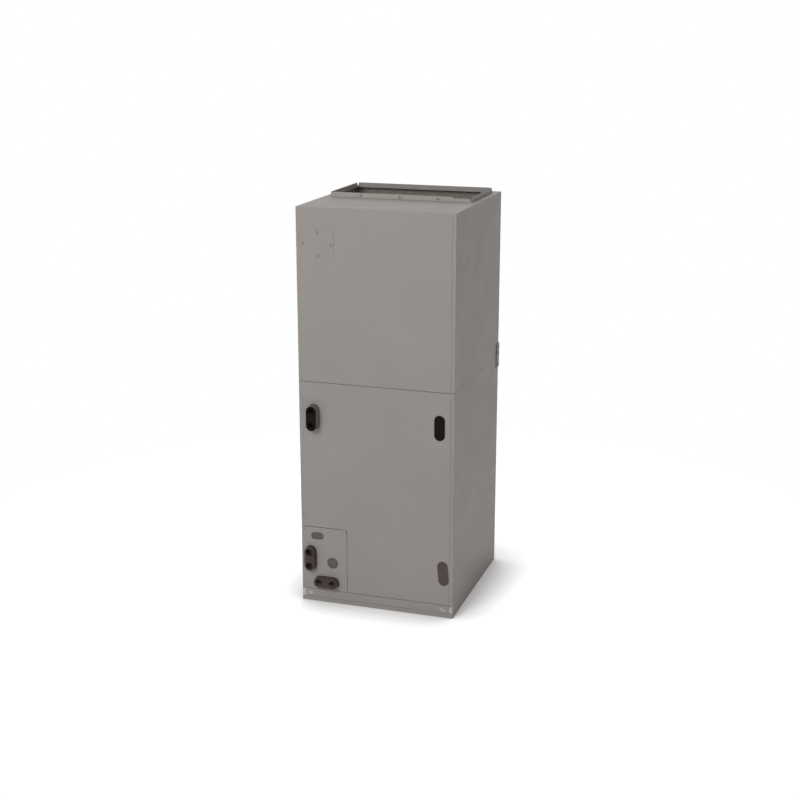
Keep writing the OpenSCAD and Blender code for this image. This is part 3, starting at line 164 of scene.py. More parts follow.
class Socket:
    """An output socket with arithmetic, each sum adding its Math node."""

    def __init__(self, finish, link):
        self.finish = finish
        self.link = link

    def _maths(self, operation, *values):
        return self.finish.node("ShaderNodeMath", dict(enumerate(values)), {"operation": operation})

    def __add__(self, other):
        return self._maths("ADD", self, other)

    __radd__ = __add__

    def __mul__(self, other):
        return self._maths("MULTIPLY", self, other)

    __rmul__ = __mul__

    def __or__(self, other):
        return self._maths("MAXIMUM", self, other)


class Nodes:
    """A node tree, with short ways to add its nodes."""

    def __init__(self, tree):
        self.tree = tree
        tree.nodes.clear()

    def node(self, kind, values=None, settings=None, out=0):
        """Adds a node and gives its output socket, if it has one."""
        made = self.tree.nodes.new(kind)
        for key, value in (settings or {}).items():
            setattr(made, key, value)
        for key, value in (values or {}).items():
            if isinstance(value, Socket):
                self.tree.links.new(value.link, made.inputs[key])
            else:
                made.inputs[key].default_value = value
        return Socket(self, made.outputs[out]) if made.outputs else None

    def reach(self, value, low, high, to_low=0.0, to_high=1.0):
        return self.node("ShaderNodeMapRange", {
            "Value": value, "From Min": low, "From Max": high, "To Min": to_low, "To Max": to_high})

    def band(self, value, to_low=0.0, to_high=1.0):
        """Spreads the middle of a noise, where most of its values lie, over a range."""
        return self.reach(value, 0.3, 0.7, to_low, to_high)

    def seen(self):
        """1 on the rays that show the surroundings as white, 0 on those that only light the object."""
        rays = ("Camera", "Glossy", "Transmission")
        camera, glossy, transmission = (
            self.node("ShaderNodeLightPath", out=f"Is {ray} Ray") for ray in rays)
        return camera | glossy | transmission


class Finish(Nodes):
    """One procedural material on Object coordinates."""

    def __init__(self, name):
        self.material = bpy.data.materials.new(name)
        self.material.use_nodes = True
        super().__init__(self.material.node_tree)
        self.place = self.node("ShaderNodeTexCoord", out="Object")

    def stretch(self, x, y, z):
        return self.node("ShaderNodeMapping", {"Vector": self.place, "Scale": (x, y, z)})

    def noise(self, scale, detail=2, rough=0.5, at=None):
        return self.node("ShaderNodeTexNoise", {
            "Vector": at or self.place, "Scale": scale, "Detail": detail, "Roughness": rough})

    def cells(self, scale):
        return self.node("ShaderNodeTexVoronoi", {"Vector": self.place, "Scale": scale}, out="Color")

    def wave(self, direction, scale, distortion=0.0):
        values = {"Vector": self.place, "Scale": scale, "Distortion": distortion}
        return self.node("ShaderNodeTexWave", values, {"bands_direction": direction})

    def mix(self, amount, first, second):
        """A colour mix. Its sockets are known by number alone, because others share their names."""
        return self.node("ShaderNodeMix", {0: amount, 6: first, 7: second}, {"data_type": "RGBA"}, out=2)

    def close(self, shader):
        """Ends the material with a shader."""
        self.node("ShaderNodeOutputMaterial", {"Surface": shader})
        return self.material

    def surface(self, tone, rough, height, strength, distance, metal=0.0, shine=0.5):
        """Ends the material with a Principled shader, bumped by a height."""
        bump = self.node("ShaderNodeBump", {"Height": height, "Strength": strength, "Distance": distance})
        return self.close(self.node("ShaderNodeBsdfPrincipled", {
            "Base Color": tone, "Roughness": rough, "Metallic": metal, "Specular IOR Level": shine,
            "Normal": bump}))


def rgb(colour, share=1.0):
    return tuple(min(1.0, part * share) for part in colour) + (1.0,)


# Finishes

def baked_enamel(name, colour, peel, shine=0.3):
    finish = Finish(name)
    clouds = finish.noise(3.5, 3)
    specks = finish.noise(900, 2)
    smudges = finish.noise(14, 5, 0.65)
    tone = finish.mix(finish.band(clouds), rgb(colour, 0.965), rgb(colour, 1.03))
    tone = finish.mix(finish.reach(specks, 0.35, 0.75, 0, 0.09), tone, rgb(colour, 0.7))
    height = finish.node("ShaderNodeSeparateXYZ", {0: finish.place}, out="Z")
    tone = finish.mix(finish.reach(height, 0.07, 0.0, 0, 0.12), tone, rgb(colour, 0.62))
    ripple = finish.noise(420, 2, 0.5) + 0.25 * finish.noise(60, 2)
    return finish.surface(
        tone, finish.reach(smudges, 0.25, 0.75, 0.42, 0.52), ripple, peel, 0.0006, shine=shine)


def galvanised(name, light=(0.56, 0.57, 0.58), dark=(0.4, 0.41, 0.42)):
    finish = Finish(name)
    spangle = finish.node("ShaderNodeRGBToBW", {0: finish.cells(95)})
    tone = finish.mix(spangle, rgb(dark), rgb(light))
    tone = finish.mix(finish.reach(finish.noise(9, 4), 0.45, 0.8, 0, 0.3), tone, rgb(dark, 0.8))
    height = spangle + 0.4 * finish.noise(300)
    return finish.surface(tone, 0.34 + 0.22 * spangle, height, 0.12, 0.0003, 0.85)


def bright_steel(name):
    finish = Finish(name)
    colour = (0.42, 0.41, 0.4)
    rub = finish.noise(700, 3)
    tone = finish.mix(finish.band(rub), rgb(colour, 0.75), rgb(colour, 1.1))
    return finish.surface(tone, finish.band(rub, 0.3, 0.5), rub, 0.1, 0.0002, 0.9)


def moulded_plastic(name, colour, rough=0.42, grain=0.14, shine=0.5):
    finish = Finish(name)
    flow = finish.noise(26, 4, 0.6)
    pits = finish.noise(820, 2)
    tone = finish.mix(finish.reach(flow, 0.3, 0.75), rgb(colour, 0.8), rgb(colour, 1.3))
    dull = finish.band(flow, rough - 0.04, rough + 0.06)
    return finish.surface(tone, dull, pits + 0.6 * flow, grain, 0.0006, shine=shine)


def stacked_steel(name):
    finish = Finish(name)
    sheets = finish.wave("Y", 260)
    tone = finish.mix(sheets, (0.035, 0.035, 0.04, 1), (0.13, 0.13, 0.14, 1))
    return finish.surface(tone, finish.band(finish.noise(90, 4), 0.35, 0.6), sheets, 0.3, 0.0003, 0.7)


def drawn_copper(name):
    finish = Finish(name)
    tarnish = finish.noise(38, 5, 0.62)
    tone = finish.mix(finish.reach(tarnish, 0.4, 0.68), (0.78, 0.4, 0.24, 1), (0.36, 0.15, 0.09, 1))
    return finish.surface(
        tone, finish.reach(tarnish, 0.35, 0.7, 0.22, 0.5), finish.noise(260, 2), 0.06, 0.0003, 0.95)


def plate_fins(name):
    finish = Finish(name)
    rolled = finish.noise(240, 3, 0.5, finish.stretch(0.1, 1, 1))
    tone = finish.mix(rolled, (0.55, 0.56, 0.57, 1), (0.78, 0.79, 0.8, 1))
    return finish.surface(tone, finish.band(rolled, 0.28, 0.46), rolled, 0.08, 0.0003, 0.9)


def faced_blanket(name):
    finish = Finish(name)
    colour = (0.115, 0.103, 0.095)
    warp = finish.wave("X", 34) + finish.wave("Y", 34)
    scrim = finish.reach(warp + finish.wave("Z", 34), 2.35, 2.75)
    fibre = finish.noise(210, 6, 0.7)
    tone = finish.mix(finish.reach(fibre, 0.3, 0.75), rgb(colour, 0.65), rgb(colour, 1.8))
    tone = finish.mix(scrim * 0.6, tone, rgb(colour, 2.2))
    height = fibre + 0.7 * scrim + 0.8 * finish.noise(24, 3)
    return finish.surface(tone, finish.reach(fibre, 0.2, 0.8, 0.72, 0.92), height, 0.5, 0.0018)


def cast_rubber(name, colour):
    finish = Finish(name)
    bloom = finish.noise(60, 4, 0.6)
    tone = finish.mix(finish.band(bloom), rgb(colour, 0.82), rgb(colour, 1.25))
    return finish.surface(tone, finish.band(bloom, 0.66, 0.84), finish.noise(600), 0.15, 0.0004)


def black_enamel(name):
    finish = Finish(name)
    dust = finish.noise(30, 5, 0.65)
    tone = finish.mix(
        finish.reach(dust, 0.42, 0.8, 0, 0.6), (0.011, 0.011, 0.012, 1), (0.05, 0.047, 0.044, 1))
    return finish.surface(tone, finish.band(dust, 0.3, 0.55), finish.noise(380), 0.1, 0.0005)


def lacquered_board(name):
    finish = Finish(name)
    lanes = finish.wave("X", 52, 7.0) * finish.wave("Z", 40, 6.0)
    tracks = finish.reach(lanes, 0.3, 0.36)
    weave = finish.noise(500, 2)
    tone = finish.mix(tracks, (0.008, 0.06, 0.03, 1), (0.02, 0.13, 0.06, 1))
    return finish.surface(tone, finish.band(weave, 0.24, 0.36), tracks + 0.2 * weave, 0.2, 0.0003)


def plain_card(name):
    finish = Finish(name)
    fibre = finish.noise(300, 5, 0.7, finish.stretch(1, 0.35, 1))
    tone = finish.mix(finish.band(fibre), (0.46, 0.36, 0.23, 1), (0.62, 0.52, 0.36, 1))
    return finish.surface(tone, finish.band(fibre, 0.8, 0.92), fibre, 0.25, 0.0005)


def pleated_medium(name):
    finish = Finish(name)
    fluff = finish.noise(420, 6, 0.75)
    tone = finish.mix(finish.reach(fluff, 0.25, 0.75), (0.6, 0.62, 0.64, 1), (0.86, 0.88, 0.9, 1))
    return finish.surface(tone, finish.reach(fluff, 0.2, 0.8, 0.85, 0.97), fluff, 0.5, 0.0009)


NODE_FINISHES = {
    "zinc": (
        "heater_deck", "heater_wall", "blower_rails", "pan_rails", "housing_left", "housing_right",
        "scroll_wrap", "motor_mount", "blower_wheel", "delta_plates"),
    "case": ("front_rails",),
    "steel": ("run_capacitor", "wheel_shaft"),
    "motor": ("motor",),
    "plastic": ("breaker",),
    "copper": ("return_bends", "suction_manifold", "expansion_valve", "distributor"),
    "core": ("transformer",),
    "card": ("filter_frame",),
    "clip": ("filter_clips", "filter_rails"),
}
FINISHES = {}


def wear(piece, finish):
    piece.data.materials.clear()
    piece.data.materials.append(FINISHES[finish])


# Modelling helpers

def mode(kind):
    bpy.ops.object.mode_set(mode=kind)


def edit_all():
    """Enters edit mode with everything selected."""
    mode("EDIT")
    bpy.ops.mesh.select_all(action="SELECT")


def named(piece, name):
    piece.name = piece.data.name = name
    return piece


def alone(piece=None):
    """Deselects everything, then selects one piece."""
    if bpy.context.object and bpy.context.object.mode != "OBJECT":
        mode("OBJECT")
    bpy.ops.object.select_all(action="DESELECT")
    if piece:
        piece.select_set(True)
        bpy.context.view_layer.objects.active = piece


def copied(node, name):
    """A merged copy of a CAD node's mesh, selected."""
    piece = bpy.data.objects.new(name, frame["nodes"][node].data.copy())
    bpy.context.scene.collection.objects.link(piece)
    alone(piece)
    edit_all()
    bpy.ops.mesh.remove_doubles(threshold=2e-6)
    bpy.ops.mesh.dissolve_limited(angle_limit=math.radians(0.5))
    mode("OBJECT")
    return piece


def seat(piece, body, slot, finish=None):
    """Puts a piece's place into its mesh, then rides it on its body, in its slot's finish or another."""
    alone(piece)
    bpy.ops.object.transform_apply()
    wear(piece, finish or slot)
    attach(piece, body)
    return piece


def applied(piece, kind, **settings):
    """Adds a modifier to a piece and applies it."""
    alone(piece)
    modifier = piece.modifiers.new(kind.lower(), kind)
    for key, value in settings.items():
        setattr(modifier, key, value)
    bpy.ops.object.modifier_apply(modifier=modifier.name)


def repeated(piece, count, step):
    applied(piece, "ARRAY", count=count, use_relative_offset=False, use_constant_offset=True,
            constant_offset_displace=step)


def smooth(degrees):
    """Smooths the selected piece's faces, but for edges sharper than an angle."""
    bpy.ops.object.shade_smooth_by_angle(angle=math.radians(degrees))


def soften(piece, width, segments=2, shortest=4 * MM, spared=None):
    """Rounds the long sharp edges of the selected piece, but for those that a test spares."""
    mode("EDIT")
    bpy.ops.mesh.select_mode(type="EDGE")
    bpy.ops.mesh.select_all(action="DESELECT")
    bpy.ops.mesh.edges_select_sharp(sharpness=math.radians(32))
    mode("OBJECT")
    mesh = piece.data
    for edge in mesh.edges:
        first, last = (mesh.vertices[v].co for v in edge.vertices)
        if (first - last).length < shortest or (spared and spared(first, last)):
            edge.select = False
    mode("EDIT")
    bpy.ops.transform.edge_bevelweight(value=1.0)
    mode("OBJECT")
    applied(piece, "BEVEL", limit_method="WEIGHT", width=width, segments=segments, use_clamp_overlap=True)
    smooth(35)
    applied(piece, "WEIGHTED_NORMAL", keep_sharp=True)


def softened(node, ending, slot, finish, *softening):
    """Puts a softened copy in a CAD node's place."""
    piece = copied(node, node + ending)
    soften(piece, *softening)
    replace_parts(seat(piece, BODY_OF[node], slot, finish), node)
    return piece


def joined(pieces, name):
    alone(pieces[0])
    for piece in pieces:
        piece.select_set(True)
    bpy.ops.object.join()
    return named(bpy.context.object, name)


def spread(pattern, places, name):
    """Copies of a pattern at each place, joined into one piece."""
    made = []
    for place in places:
        copy = bpy.data.objects.new(name, pattern.data.copy())
        bpy.context.scene.collection.objects.link(copy)
        copy.matrix_world = place
        made.append(copy)
    return joined(made, name)


def facing(place, normal):
    """A place whose own Z points along a normal."""
    return Matrix.Translation(place) @ Vector(normal).to_track_quat("Z", "Y").to_matrix().to_4x4()


def corners(node):
    """The lowest and highest corners of a CAD node."""
    return [Vector(corner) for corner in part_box(node)]


def inset(width, *move):
    """Insets the selected faces, then moves them."""
    bpy.ops.mesh.inset(thickness=width)
    if move:
        bpy.ops.transform.translate(value=move)


def cube(low, high):
    """A plain box between two corners, to be shaped further."""
    low, high = Vector(low), Vector(high)
    bpy.ops.mesh.primitive_cube_add(size=1, location=(low + high) / 2)
    made = bpy.context.object
    made.scale = high - low
    bpy.ops.object.transform_apply()
    return made


def block(low, high, softening):
    """A box between two corners with rounded edges."""
    made = cube(low, high)
    soften(made, softening, 2, 0.2 * MM)
    return made


def rod(start, end, radius, softening, vertices=20):
    """A round bar between two points with rounded ends."""
    start, end = Vector(start), Vector(end)
    bpy.ops.mesh.primitive_cylinder_add(vertices=vertices, radius=radius, depth=(end - start).length)
    made = bpy.context.object
    made.matrix_world = facing((start + end) / 2, end - start)
    bpy.ops.object.transform_apply()
    soften(made, softening, 2, 0.05 * MM)
    return made


def choose(piece, test, kind="FACE"):
    """Enters edit mode with the faces or vertices that pass a test selected."""
    alone(piece)
    mode("EDIT")
    bpy.ops.mesh.select_mode(type=kind)
    bpy.ops.mesh.select_all(action="DESELECT")
    mode("OBJECT")
    for part in piece.data.polygons if kind == "FACE" else piece.data.vertices:
        part.select = test(part)
    mode("EDIT")


def close_rim(piece):
    """Closes the open rim of a piece in edit mode, from its lowest corner, so that each run is the same."""
    shape = bmesh.from_edit_mesh(piece.data)
    shape.verts.index_update()
    after = {loop.link_loop_next.vert: loop.vert
             for edge in shape.edges if edge.is_boundary for loop in edge.link_loops}
    corner, rim = min(after, key=lambda vert: vert.index), []
    while corner not in rim:
        rim.append(corner)
        corner = after[corner]
    shape.faces.new(rim)
    bmesh.update_edit_mesh(piece.data)


def steps(low, high, spacing):
    """Evenly spread places between two ends, about a spacing apart."""
    count = max(1, round((high - low) / spacing))
    return [low + (i + 0.5) * (high - low) / count for i in range(count)]


def islands(node):
    """The points of each solid of a CAD node."""
    piece = copied(node, "apart")
    edit_all()
    bpy.ops.mesh.separate(type="LOOSE")
    mode("OBJECT")
    parts = [o for o in bpy.context.scene.objects if o.name.split(".")[0] == "apart"]
    found = [[v.co.copy() for v in part.data.vertices] for part in parts]
    for part in parts:
        bpy.data.objects.remove(part)
    return found


def span(points):
    low = Vector(min(p[i] for p in points) for i in range(3))
    high = Vector(max(p[i] for p in points) for i in range(3))
    return low, high


def in_socket(place):
    """Whether a place lies within a drain socket, seen from the front."""
    return any(math.hypot(place.x - bore["pos_m"][0], place.z - bore["pos_m"][2])
               < bore["dims"]["r_mm"] * MM + 0.1 * MM for bore in BORES)


# Operators

class FinishOperator(bpy.types.Operator):
    """Makes the finishes and lays them on the CAD's own pieces"""
    bl_idname = "air_handler.finishes"
    bl_label = "Finishes"

    def execute(self, context):
        chosen = context.scene.air_handler_finish
        FINISHES.update(
            paint=baked_enamel("baked_enamel", chosen.paint, chosen.peel),
            # The darker case enamel paints the shade on the side and back sheets.
            case=baked_enamel("case_enamel", chosen.shaded_case_paint, chosen.peel),
            # A lighter copy of the paint for the collar's front flange: painted light, where that flange
            # shows brighter than the doors.
            collar=baked_enamel("collar_enamel", rgb(chosen.paint, 1.22)[:3], chosen.peel),
            zinc=galvanised("galvanised"),
            clip=galvanised("clip_zinc", (0.44, 0.42, 0.4), (0.3, 0.285, 0.27)),
            steel=bright_steel("bright_steel"),
            # Screw heads in a copy of the panel paint made lighter to lift the shade on their small heads:
            # painted light.
            screw=baked_enamel("screw_enamel", (0.35, 0.322, 0.3), chosen.peel, 0.5),
            pan_black=moulded_plastic("pan_black", chosen.pan_black, 0.5, 0.1, 0.08),
            pan_brown=moulded_plastic("pan_brown", chosen.pan_brown, 0.5, 0.1, 0.12),
            # Lighter copies of the pans' plastic for their sideways walls: on the black pan a mid grey that
            # paints the highlight where light falls on those walls; the brown copy is barely lighter.
            black_wall=moulded_plastic("pan_black_wall", (0.13, 0.122, 0.115), 0.55, 0.6, 0.3),
            brown_wall=moulded_plastic("pan_brown_wall", (0.064, 0.049, 0.044), 0.55, 0.6, 0.3),
            copper=drawn_copper("drawn_copper"),
            fins=plate_fins("plate_fins"),
            blanket=faced_blanket("faced_blanket"),
            # The plenum's lining is a lighter facing than the other insulation, lightened also to lift the
            # shade inside the plenum: partly painted light.
            plenum=cast_rubber("plenum_foam", (0.2, 0.175, 0.152)),
            rubber=cast_rubber("cast_rubber", (0.092, 0.081, 0.072)),
            motor=black_enamel("black_enamel"),
            plastic=moulded_plastic("black_plastic", (0.012, 0.012, 0.012), 0.5),
            board=lacquered_board("lacquered_board"),
            core=stacked_steel("core_steel"),
            fuse=moulded_plastic("fuse_amber", (0.42, 0.2, 0.03), 0.25),
            ceramic=moulded_plastic("ceramic", (0.62, 0.6, 0.55), 0.5),
            card=plain_card("plain_card"),
            medium=pleated_medium("pleated_medium"),
        )
        for finish, nodes in NODE_FINISHES.items():
            for node in nodes:
                wear(frame["nodes"][node], finish)
        return {"FINISHED"}


class SheetsOperator(bpy.types.Operator):
    """Softens the folded and cut edges of the casing and the doors"""
    bl_idname = "air_handler.sheets"
    bl_label = "Casing and doors"

    def execute(self, context):
        share = context.scene.air_handler_finish.softening
        for finish, sheets in SOFT_SHEETS.items():
            for node, width in sheets.items():
                slot = "zinc" if finish == "zinc" else "paint"
                softened(node, "_sheet", slot, finish, width * share * MM)
        return {"FINISHED"}


class MouldingsOperator(bpy.types.Operator):
    """Softens the edges of the pans, the plugs and the grommets"""
    bl_idname = "air_handler.mouldings"
    bl_label = "Pans, plugs and grommets"

    finishes = {"side_drain_pan": "pan_black", "line_grommets": "rubber"}
    looks = ("pan_black", "pan_brown", "black_wall", "brown_wall")
    upper = 0.4
    boss_reach = 34 * MM
    rounding_from = 1 * MM
    # How far a face's normal points to the front or the back.
    squarely, sideways = 0.98, 0.4

    def look(self, node, face, front):
        """The look of a pan's or a plug's face, or nothing where it keeps the piece's own finish."""
        shade = "black" if face.center.z > self.upper else "brown"
        if node == "socket_plugs":
            return "pan_black" if shade == "black" else "brown_wall"
        turned = abs(face.normal.y)
        if face.center.y < front or face.center.y < front + self.boss_reach and turned < self.squarely:
            # Sideways outer walls take the lighter wall copies, a painted highlight on the walls that face
            # the light.
            outside = turned < self.sideways and not in_socket(face.center)
            return f"{shade}_wall" if outside else f"pan_{shade}"
        return None

    def execute(self, context):
        share = context.scene.air_handler_finish.softening
        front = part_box("fitting_panel")[0][1]
        for node, width in MOULDED.items():
            finish = self.finishes.get(node, "pan_brown")
            piece = softened(node, "_moulding", finish, finish, width * share * MM, 3, self.rounding_from,
                             lambda first, last: in_socket((first + last) / 2))
            if node == "line_grommets":
                continue
            for look in self.looks:
                piece.data.materials.append(FINISHES[look])
            for face in piece.data.polygons:
                look = self.look(node, face, front)
                if look:
                    face.material_index = 1 + self.looks.index(look)
        return {"FINISHED"}


class ScrewsOperator(bpy.types.Operator):
    """Puts a hexagon washer-head screw in each screw's place"""
    bl_idname = "air_handler.screws"
    bl_label = "Screws"

    flange_r, flange_t, flange_from = 5 * MM, 0.9 * MM, 3 * MM
    head_r, head_h = 4 * MM, 2.8 * MM
    rim, slope, dish = 0.6 * MM, 0.5 * MM, 0.7 * MM
    shank_r, shank_length = 1.95 * MM, 8 * MM

    def bar(self, vertices, radius, low, high):
        bpy.ops.mesh.primitive_cylinder_add(
            vertices=vertices, radius=radius, depth=high - low, location=(0, 0, (low + high) / 2))
        return bpy.context.object

    def screw(self):
        flange = self.bar(24, self.flange_r, 0, self.flange_t)
        soften(flange, 0.3 * MM, 2, 0.1 * MM)
        head = self.bar(6, self.head_r, self.flange_t, self.flange_t + self.head_h)
        choose(head, lambda face: face.normal.z > 0.9)
        inset(self.rim)
        inset(self.slope, 0, 0, -self.dish)
        mode("OBJECT")
        soften(head, 0.25 * MM, 2, 0.5 * MM)
        shank = self.bar(12, self.shank_r, -self.shank_length, 0)
        soften(shank, 0.5 * MM, 1, 0.1 * MM)
        return joined([flange, head, shank], "screw")

    def place(self, points):
        """Where a screw's flange seats, from the points of its plain solid."""
        low, high = span(points)
        size, middle = high - low, (low + high) / 2
        along = max(range(3), key=lambda i: size[i])
        off_axis = [max(abs(p[i] - middle[i]) for i in range(3) if i != along) for p in points]
        wide = [p[along] for p, off in zip(points, off_axis) if off > self.flange_from]
        sign = 1 if sum(wide) / len(wide) > middle[along] else -1
        end = max(sign * p[along] for p in points)
        middle[along] = sign * (end - self.flange_t - self.head_h)
        return facing(middle, [sign if i == along else 0 for i in range(3)])

    def execute(self, context):
        pattern = self.screw()
        for node in SCREW_NODES:
            places = [self.place(points) for points in islands(node)]
            screws = spread(pattern, places, node + "_set")
            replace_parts(seat(screws, BODY_OF[node], "steel", "screw"), node)
        bpy.data.objects.remove(pattern)
        return {"FINISHED"}


class ThreadsOperator(bpy.types.Operator):
    """Cuts the look of a pipe thread into each drain socket"""
    bl_idname = "air_handler.threads"
    bl_label = "Drain socket threads"

    plain_end = 1 * MM
    sunk = 0.2 * MM

    def execute(self, context):
        detail = context.scene.air_handler_detail
        pitch = detail.thread_pitch
        for bore in BORES:
            radius, length = bore["dims"]["r_mm"] * MM, bore["dims"]["length_mm"] * MM
            bpy.ops.mesh.primitive_plane_add(size=1)
            tooth = bpy.context.object
            edit_all()
            bpy.ops.mesh.delete(type="VERT")
            shape = bmesh.from_edit_mesh(tooth.data)
            root = radius + self.sunk
            outline = ((radius - detail.thread_depth, 0), (root, -pitch / 2), (root, pitch / 2))
            made = [shape.verts.new((x, y, 0)) for x, y in outline]
            for i in range(3):
                shape.edges.new((made[i], made[(i + 1) % 3]))
            bmesh.update_edit_mesh(tooth.data)
            turns = int((length - 2 * self.plain_end) / pitch)
            applied(tooth, "SCREW", axis="Y", screw_offset=pitch, iterations=turns, steps=32,
                    render_steps=32, use_normal_calculate=True)
            edit_all()
            bpy.ops.mesh.normals_make_consistent(inside=False)
            mode("OBJECT")
            smooth(30)
            low, high = span([v.co for v in tooth.data.vertices])
            tooth.location = Vector(bore["pos_m"]) - Vector((0, (low.y + high.y) / 2, 0))
            slot = "pan_brown" if "main" in bore["name"] else "pan_black"
            seat(named(tooth, bore["name"] + "_thread"), "coil", slot)
        return {"FINISHED"}


class BlanketsOperator(bpy.types.Operator):
    """Lays the faced insulation, rounded at its edges"""
    bl_idname = "air_handler.blankets"
    bl_label = "Insulation"

    rounding, rounding_from = 2.2 * MM, 6 * MM

    def execute(self, context):
        for node in BLANKETS:
            # The plenum's lining takes the lighter foam, which partly paints light into its shaded inside.
            finish = "plenum" if node == "plenum_liner" else "blanket"
            softened(node, "_blanket", "foil", finish, self.rounding, 3, self.rounding_from)
        return {"FINISHED"}


class SealOperator(bpy.types.Operator):
    """Lays the thin dark foam seals between the two sections and in the split beside the fitting panel,
    dark so that they also paint the shade in those seams
    """
    bl_idname = "air_handler.seal"
    bl_label = "Foam seals"

    half_tall, proud, deep = 0.35 * MM, 0.2 * MM, 1 * MM
    split, sheet, clearance, bead = 1.6 * MM, 1.2 * MM, 0.1 * MM, 0.55 * MM
    rounding = 0.1 * MM

    def execute(self, context):
        # A dark foam seal along the seam between the sections, which also paints the seam's shade.
        low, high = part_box("coil_right_side")
        foot, top, back = high[2] - self.half_tall, high[2] + self.half_tall, high[1] + self.proud
        strips = []
        for side in (1, -1):
            near, far = sorted((side * (high[0] - self.deep), side * (high[0] + self.proud)))
            strips.append(block((near, low[1] + self.deep, foot), (far, back, top), self.rounding))
        strips.append(block((-high[0], high[1] - self.deep, foot), (high[0], back, top), self.rounding))
        seat(joined(strips, "section_seal"), "casing", "rubber")

        # A dark foam bead in the split beside the fitting panel, which also paints shade into that lit gap.
        low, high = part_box("fitting_panel")
        floor = low[1] + self.sheet
        near = (high[0] + self.clearance, floor - self.bead, low[2])
        far = (high[0] + self.split - self.clearance, floor + self.clearance, high[2])
        bead = block(near, far, self.rounding)
        seat(named(bead, "split_seal"), "coil_door", "rubber")
        return {"FINISHED"}


class Slab:
    """Where one slab of the coil stands, and its sizes.

    half is half the slab's thickness over its tube sheets, and core_half that of its fins.
    """

    def __init__(self, node):
        piece = copied(node, "slab_sizes")
        mesh = piece.data
        ends = [[mesh.vertices[v].co for v in edge.vertices] for edge in mesh.edges]
        rise = max((b - a for a, b in ends if abs(a.y - b.y) < MM), key=lambda edge: edge.length)
        self.up = rise.normalized() * (1 if rise.z > 0 else -1)
        across = Vector((self.up.z, 0, -self.up.x))
        points = [v.co.copy() for v in mesh.vertices]
        bpy.data.objects.remove(piece)
        wide = sorted({round(p.dot(across), 5) for p in points})
        low = min(p.dot(self.up) for p in points)
        self.length = max(p.dot(self.up) for p in points) - low
        self.half = (wide[-1] - wide[0]) / 2
        self.core_half = (wide[-2] - wide[1]) / 2
        self.y = (min(p.y for p in points), max(p.y for p in points))
        foot = across * (wide[-1] + wide[0]) / 2 + self.up * low
        self.place = Matrix((
            (across.x, 0, self.up.x, foot.x), (0, 1, 0, 0),
            (across.z, 0, self.up.z, foot.z), (0, 0, 0, 1)))


class CoilOperator(bpy.types.Operator):
    """Builds the coil's fins, tubes, tube sheets and soldered joints in place of its plain slabs"""
    bl_idname = "air_handler.coil"
    bl_label = "Coil"

    sheet_depth = 9 * MM
    sheet_wall = 1.4 * MM
    tube_r = 4.8 * MM
    tube_step = 25.4 * MM
    solder_r = 0.8 * MM
    folds = 10
    slots = {"fins": "fins", "tubes": "copper", "tube_sheets": "zinc"}

    def fins(self, slab, detail):
        tall = slab.length - 4 * self.sheet_wall
        bpy.ops.mesh.primitive_grid_add(x_subdivisions=2, y_subdivisions=self.folds, size=1)
        fin = bpy.context.object
        fin.scale = (2 * slab.core_half, tall, 1)
        fin.rotation_euler = (math.pi / 2, 0, 0)
        foot = 2 * self.sheet_wall
        fin.location = (0, slab.y[0] + foot, slab.length / 2)
        bpy.ops.object.transform_apply()
        choose(fin, lambda v: round((v.co.z - foot) / tall * self.folds) % 2 == 1, "VERT")
        bpy.ops.transform.translate(value=(0, detail.fin_pitch / 4, 0))
        mode("OBJECT")
        applied(fin, "SOLIDIFY", thickness=detail.fin_thickness, offset=0)
        deep = slab.y[1] - slab.y[0] - 5 * self.sheet_wall
        repeated(fin, int(deep / detail.fin_pitch), (0, detail.fin_pitch, 0))
        return fin

    def across_rows(self, piece, slab):
        repeated(piece, int(slab.length / self.tube_step), (0, 0, self.tube_step))
        repeated(piece, 2, (self.tube_step, 0, 0))
        return piece

    def tubes(self, slab):
        left = -self.tube_step / 2
        ends = [(left, y, self.tube_step) for y in slab.y]
        made = [self.across_rows(rod(*ends, self.tube_r, 0.4 * MM, 12), slab)]
        for y in (slab.y[0] - self.solder_r / 2, slab.y[1] + self.solder_r / 2):
            bpy.ops.mesh.primitive_torus_add(
                major_radius=self.tube_r + 0.3 * MM, minor_radius=self.solder_r, major_segments=12,
                minor_segments=5, location=(left, y, self.tube_step), rotation=(math.pi / 2, 0, 0))
            ring = bpy.context.object
            bpy.ops.object.transform_apply()
            smooth(60)
            made.append(self.across_rows(ring, slab))
        return joined(made, "tubes")

    def tube_sheets(self, slab):
        made = []
        for y, inward in ((slab.y[0], 1), (slab.y[1], -1)):
            near, far = sorted((y, y + inward * self.sheet_depth))
            tray = cube((-slab.half, near, 0), (slab.half, far, slab.length))
            choose(tray, lambda face: face.normal.y * inward > 0.9)
            inset(self.sheet_wall, 0, -inward * (self.sheet_depth - self.sheet_wall), 0)
            mode("OBJECT")
            soften(tray, 0.3 * MM)
            made.append(tray)
        return joined(made, "tube_sheets")

    def execute(self, context):
        detail = context.scene.air_handler_detail
        for node in ("slab_left", "slab_right"):
            slab = Slab(node)
            fins = self.fins(slab, detail)
            parts = {"fins": fins, "tubes": self.tubes(slab), "tube_sheets": self.tube_sheets(slab)}
            for part, made in parts.items():
                made.matrix_world = slab.place
                seat(named(made, f"{node}_{part}"), "coil", self.slots[part])
            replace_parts(fins, node)
        return {"FINISHED"}


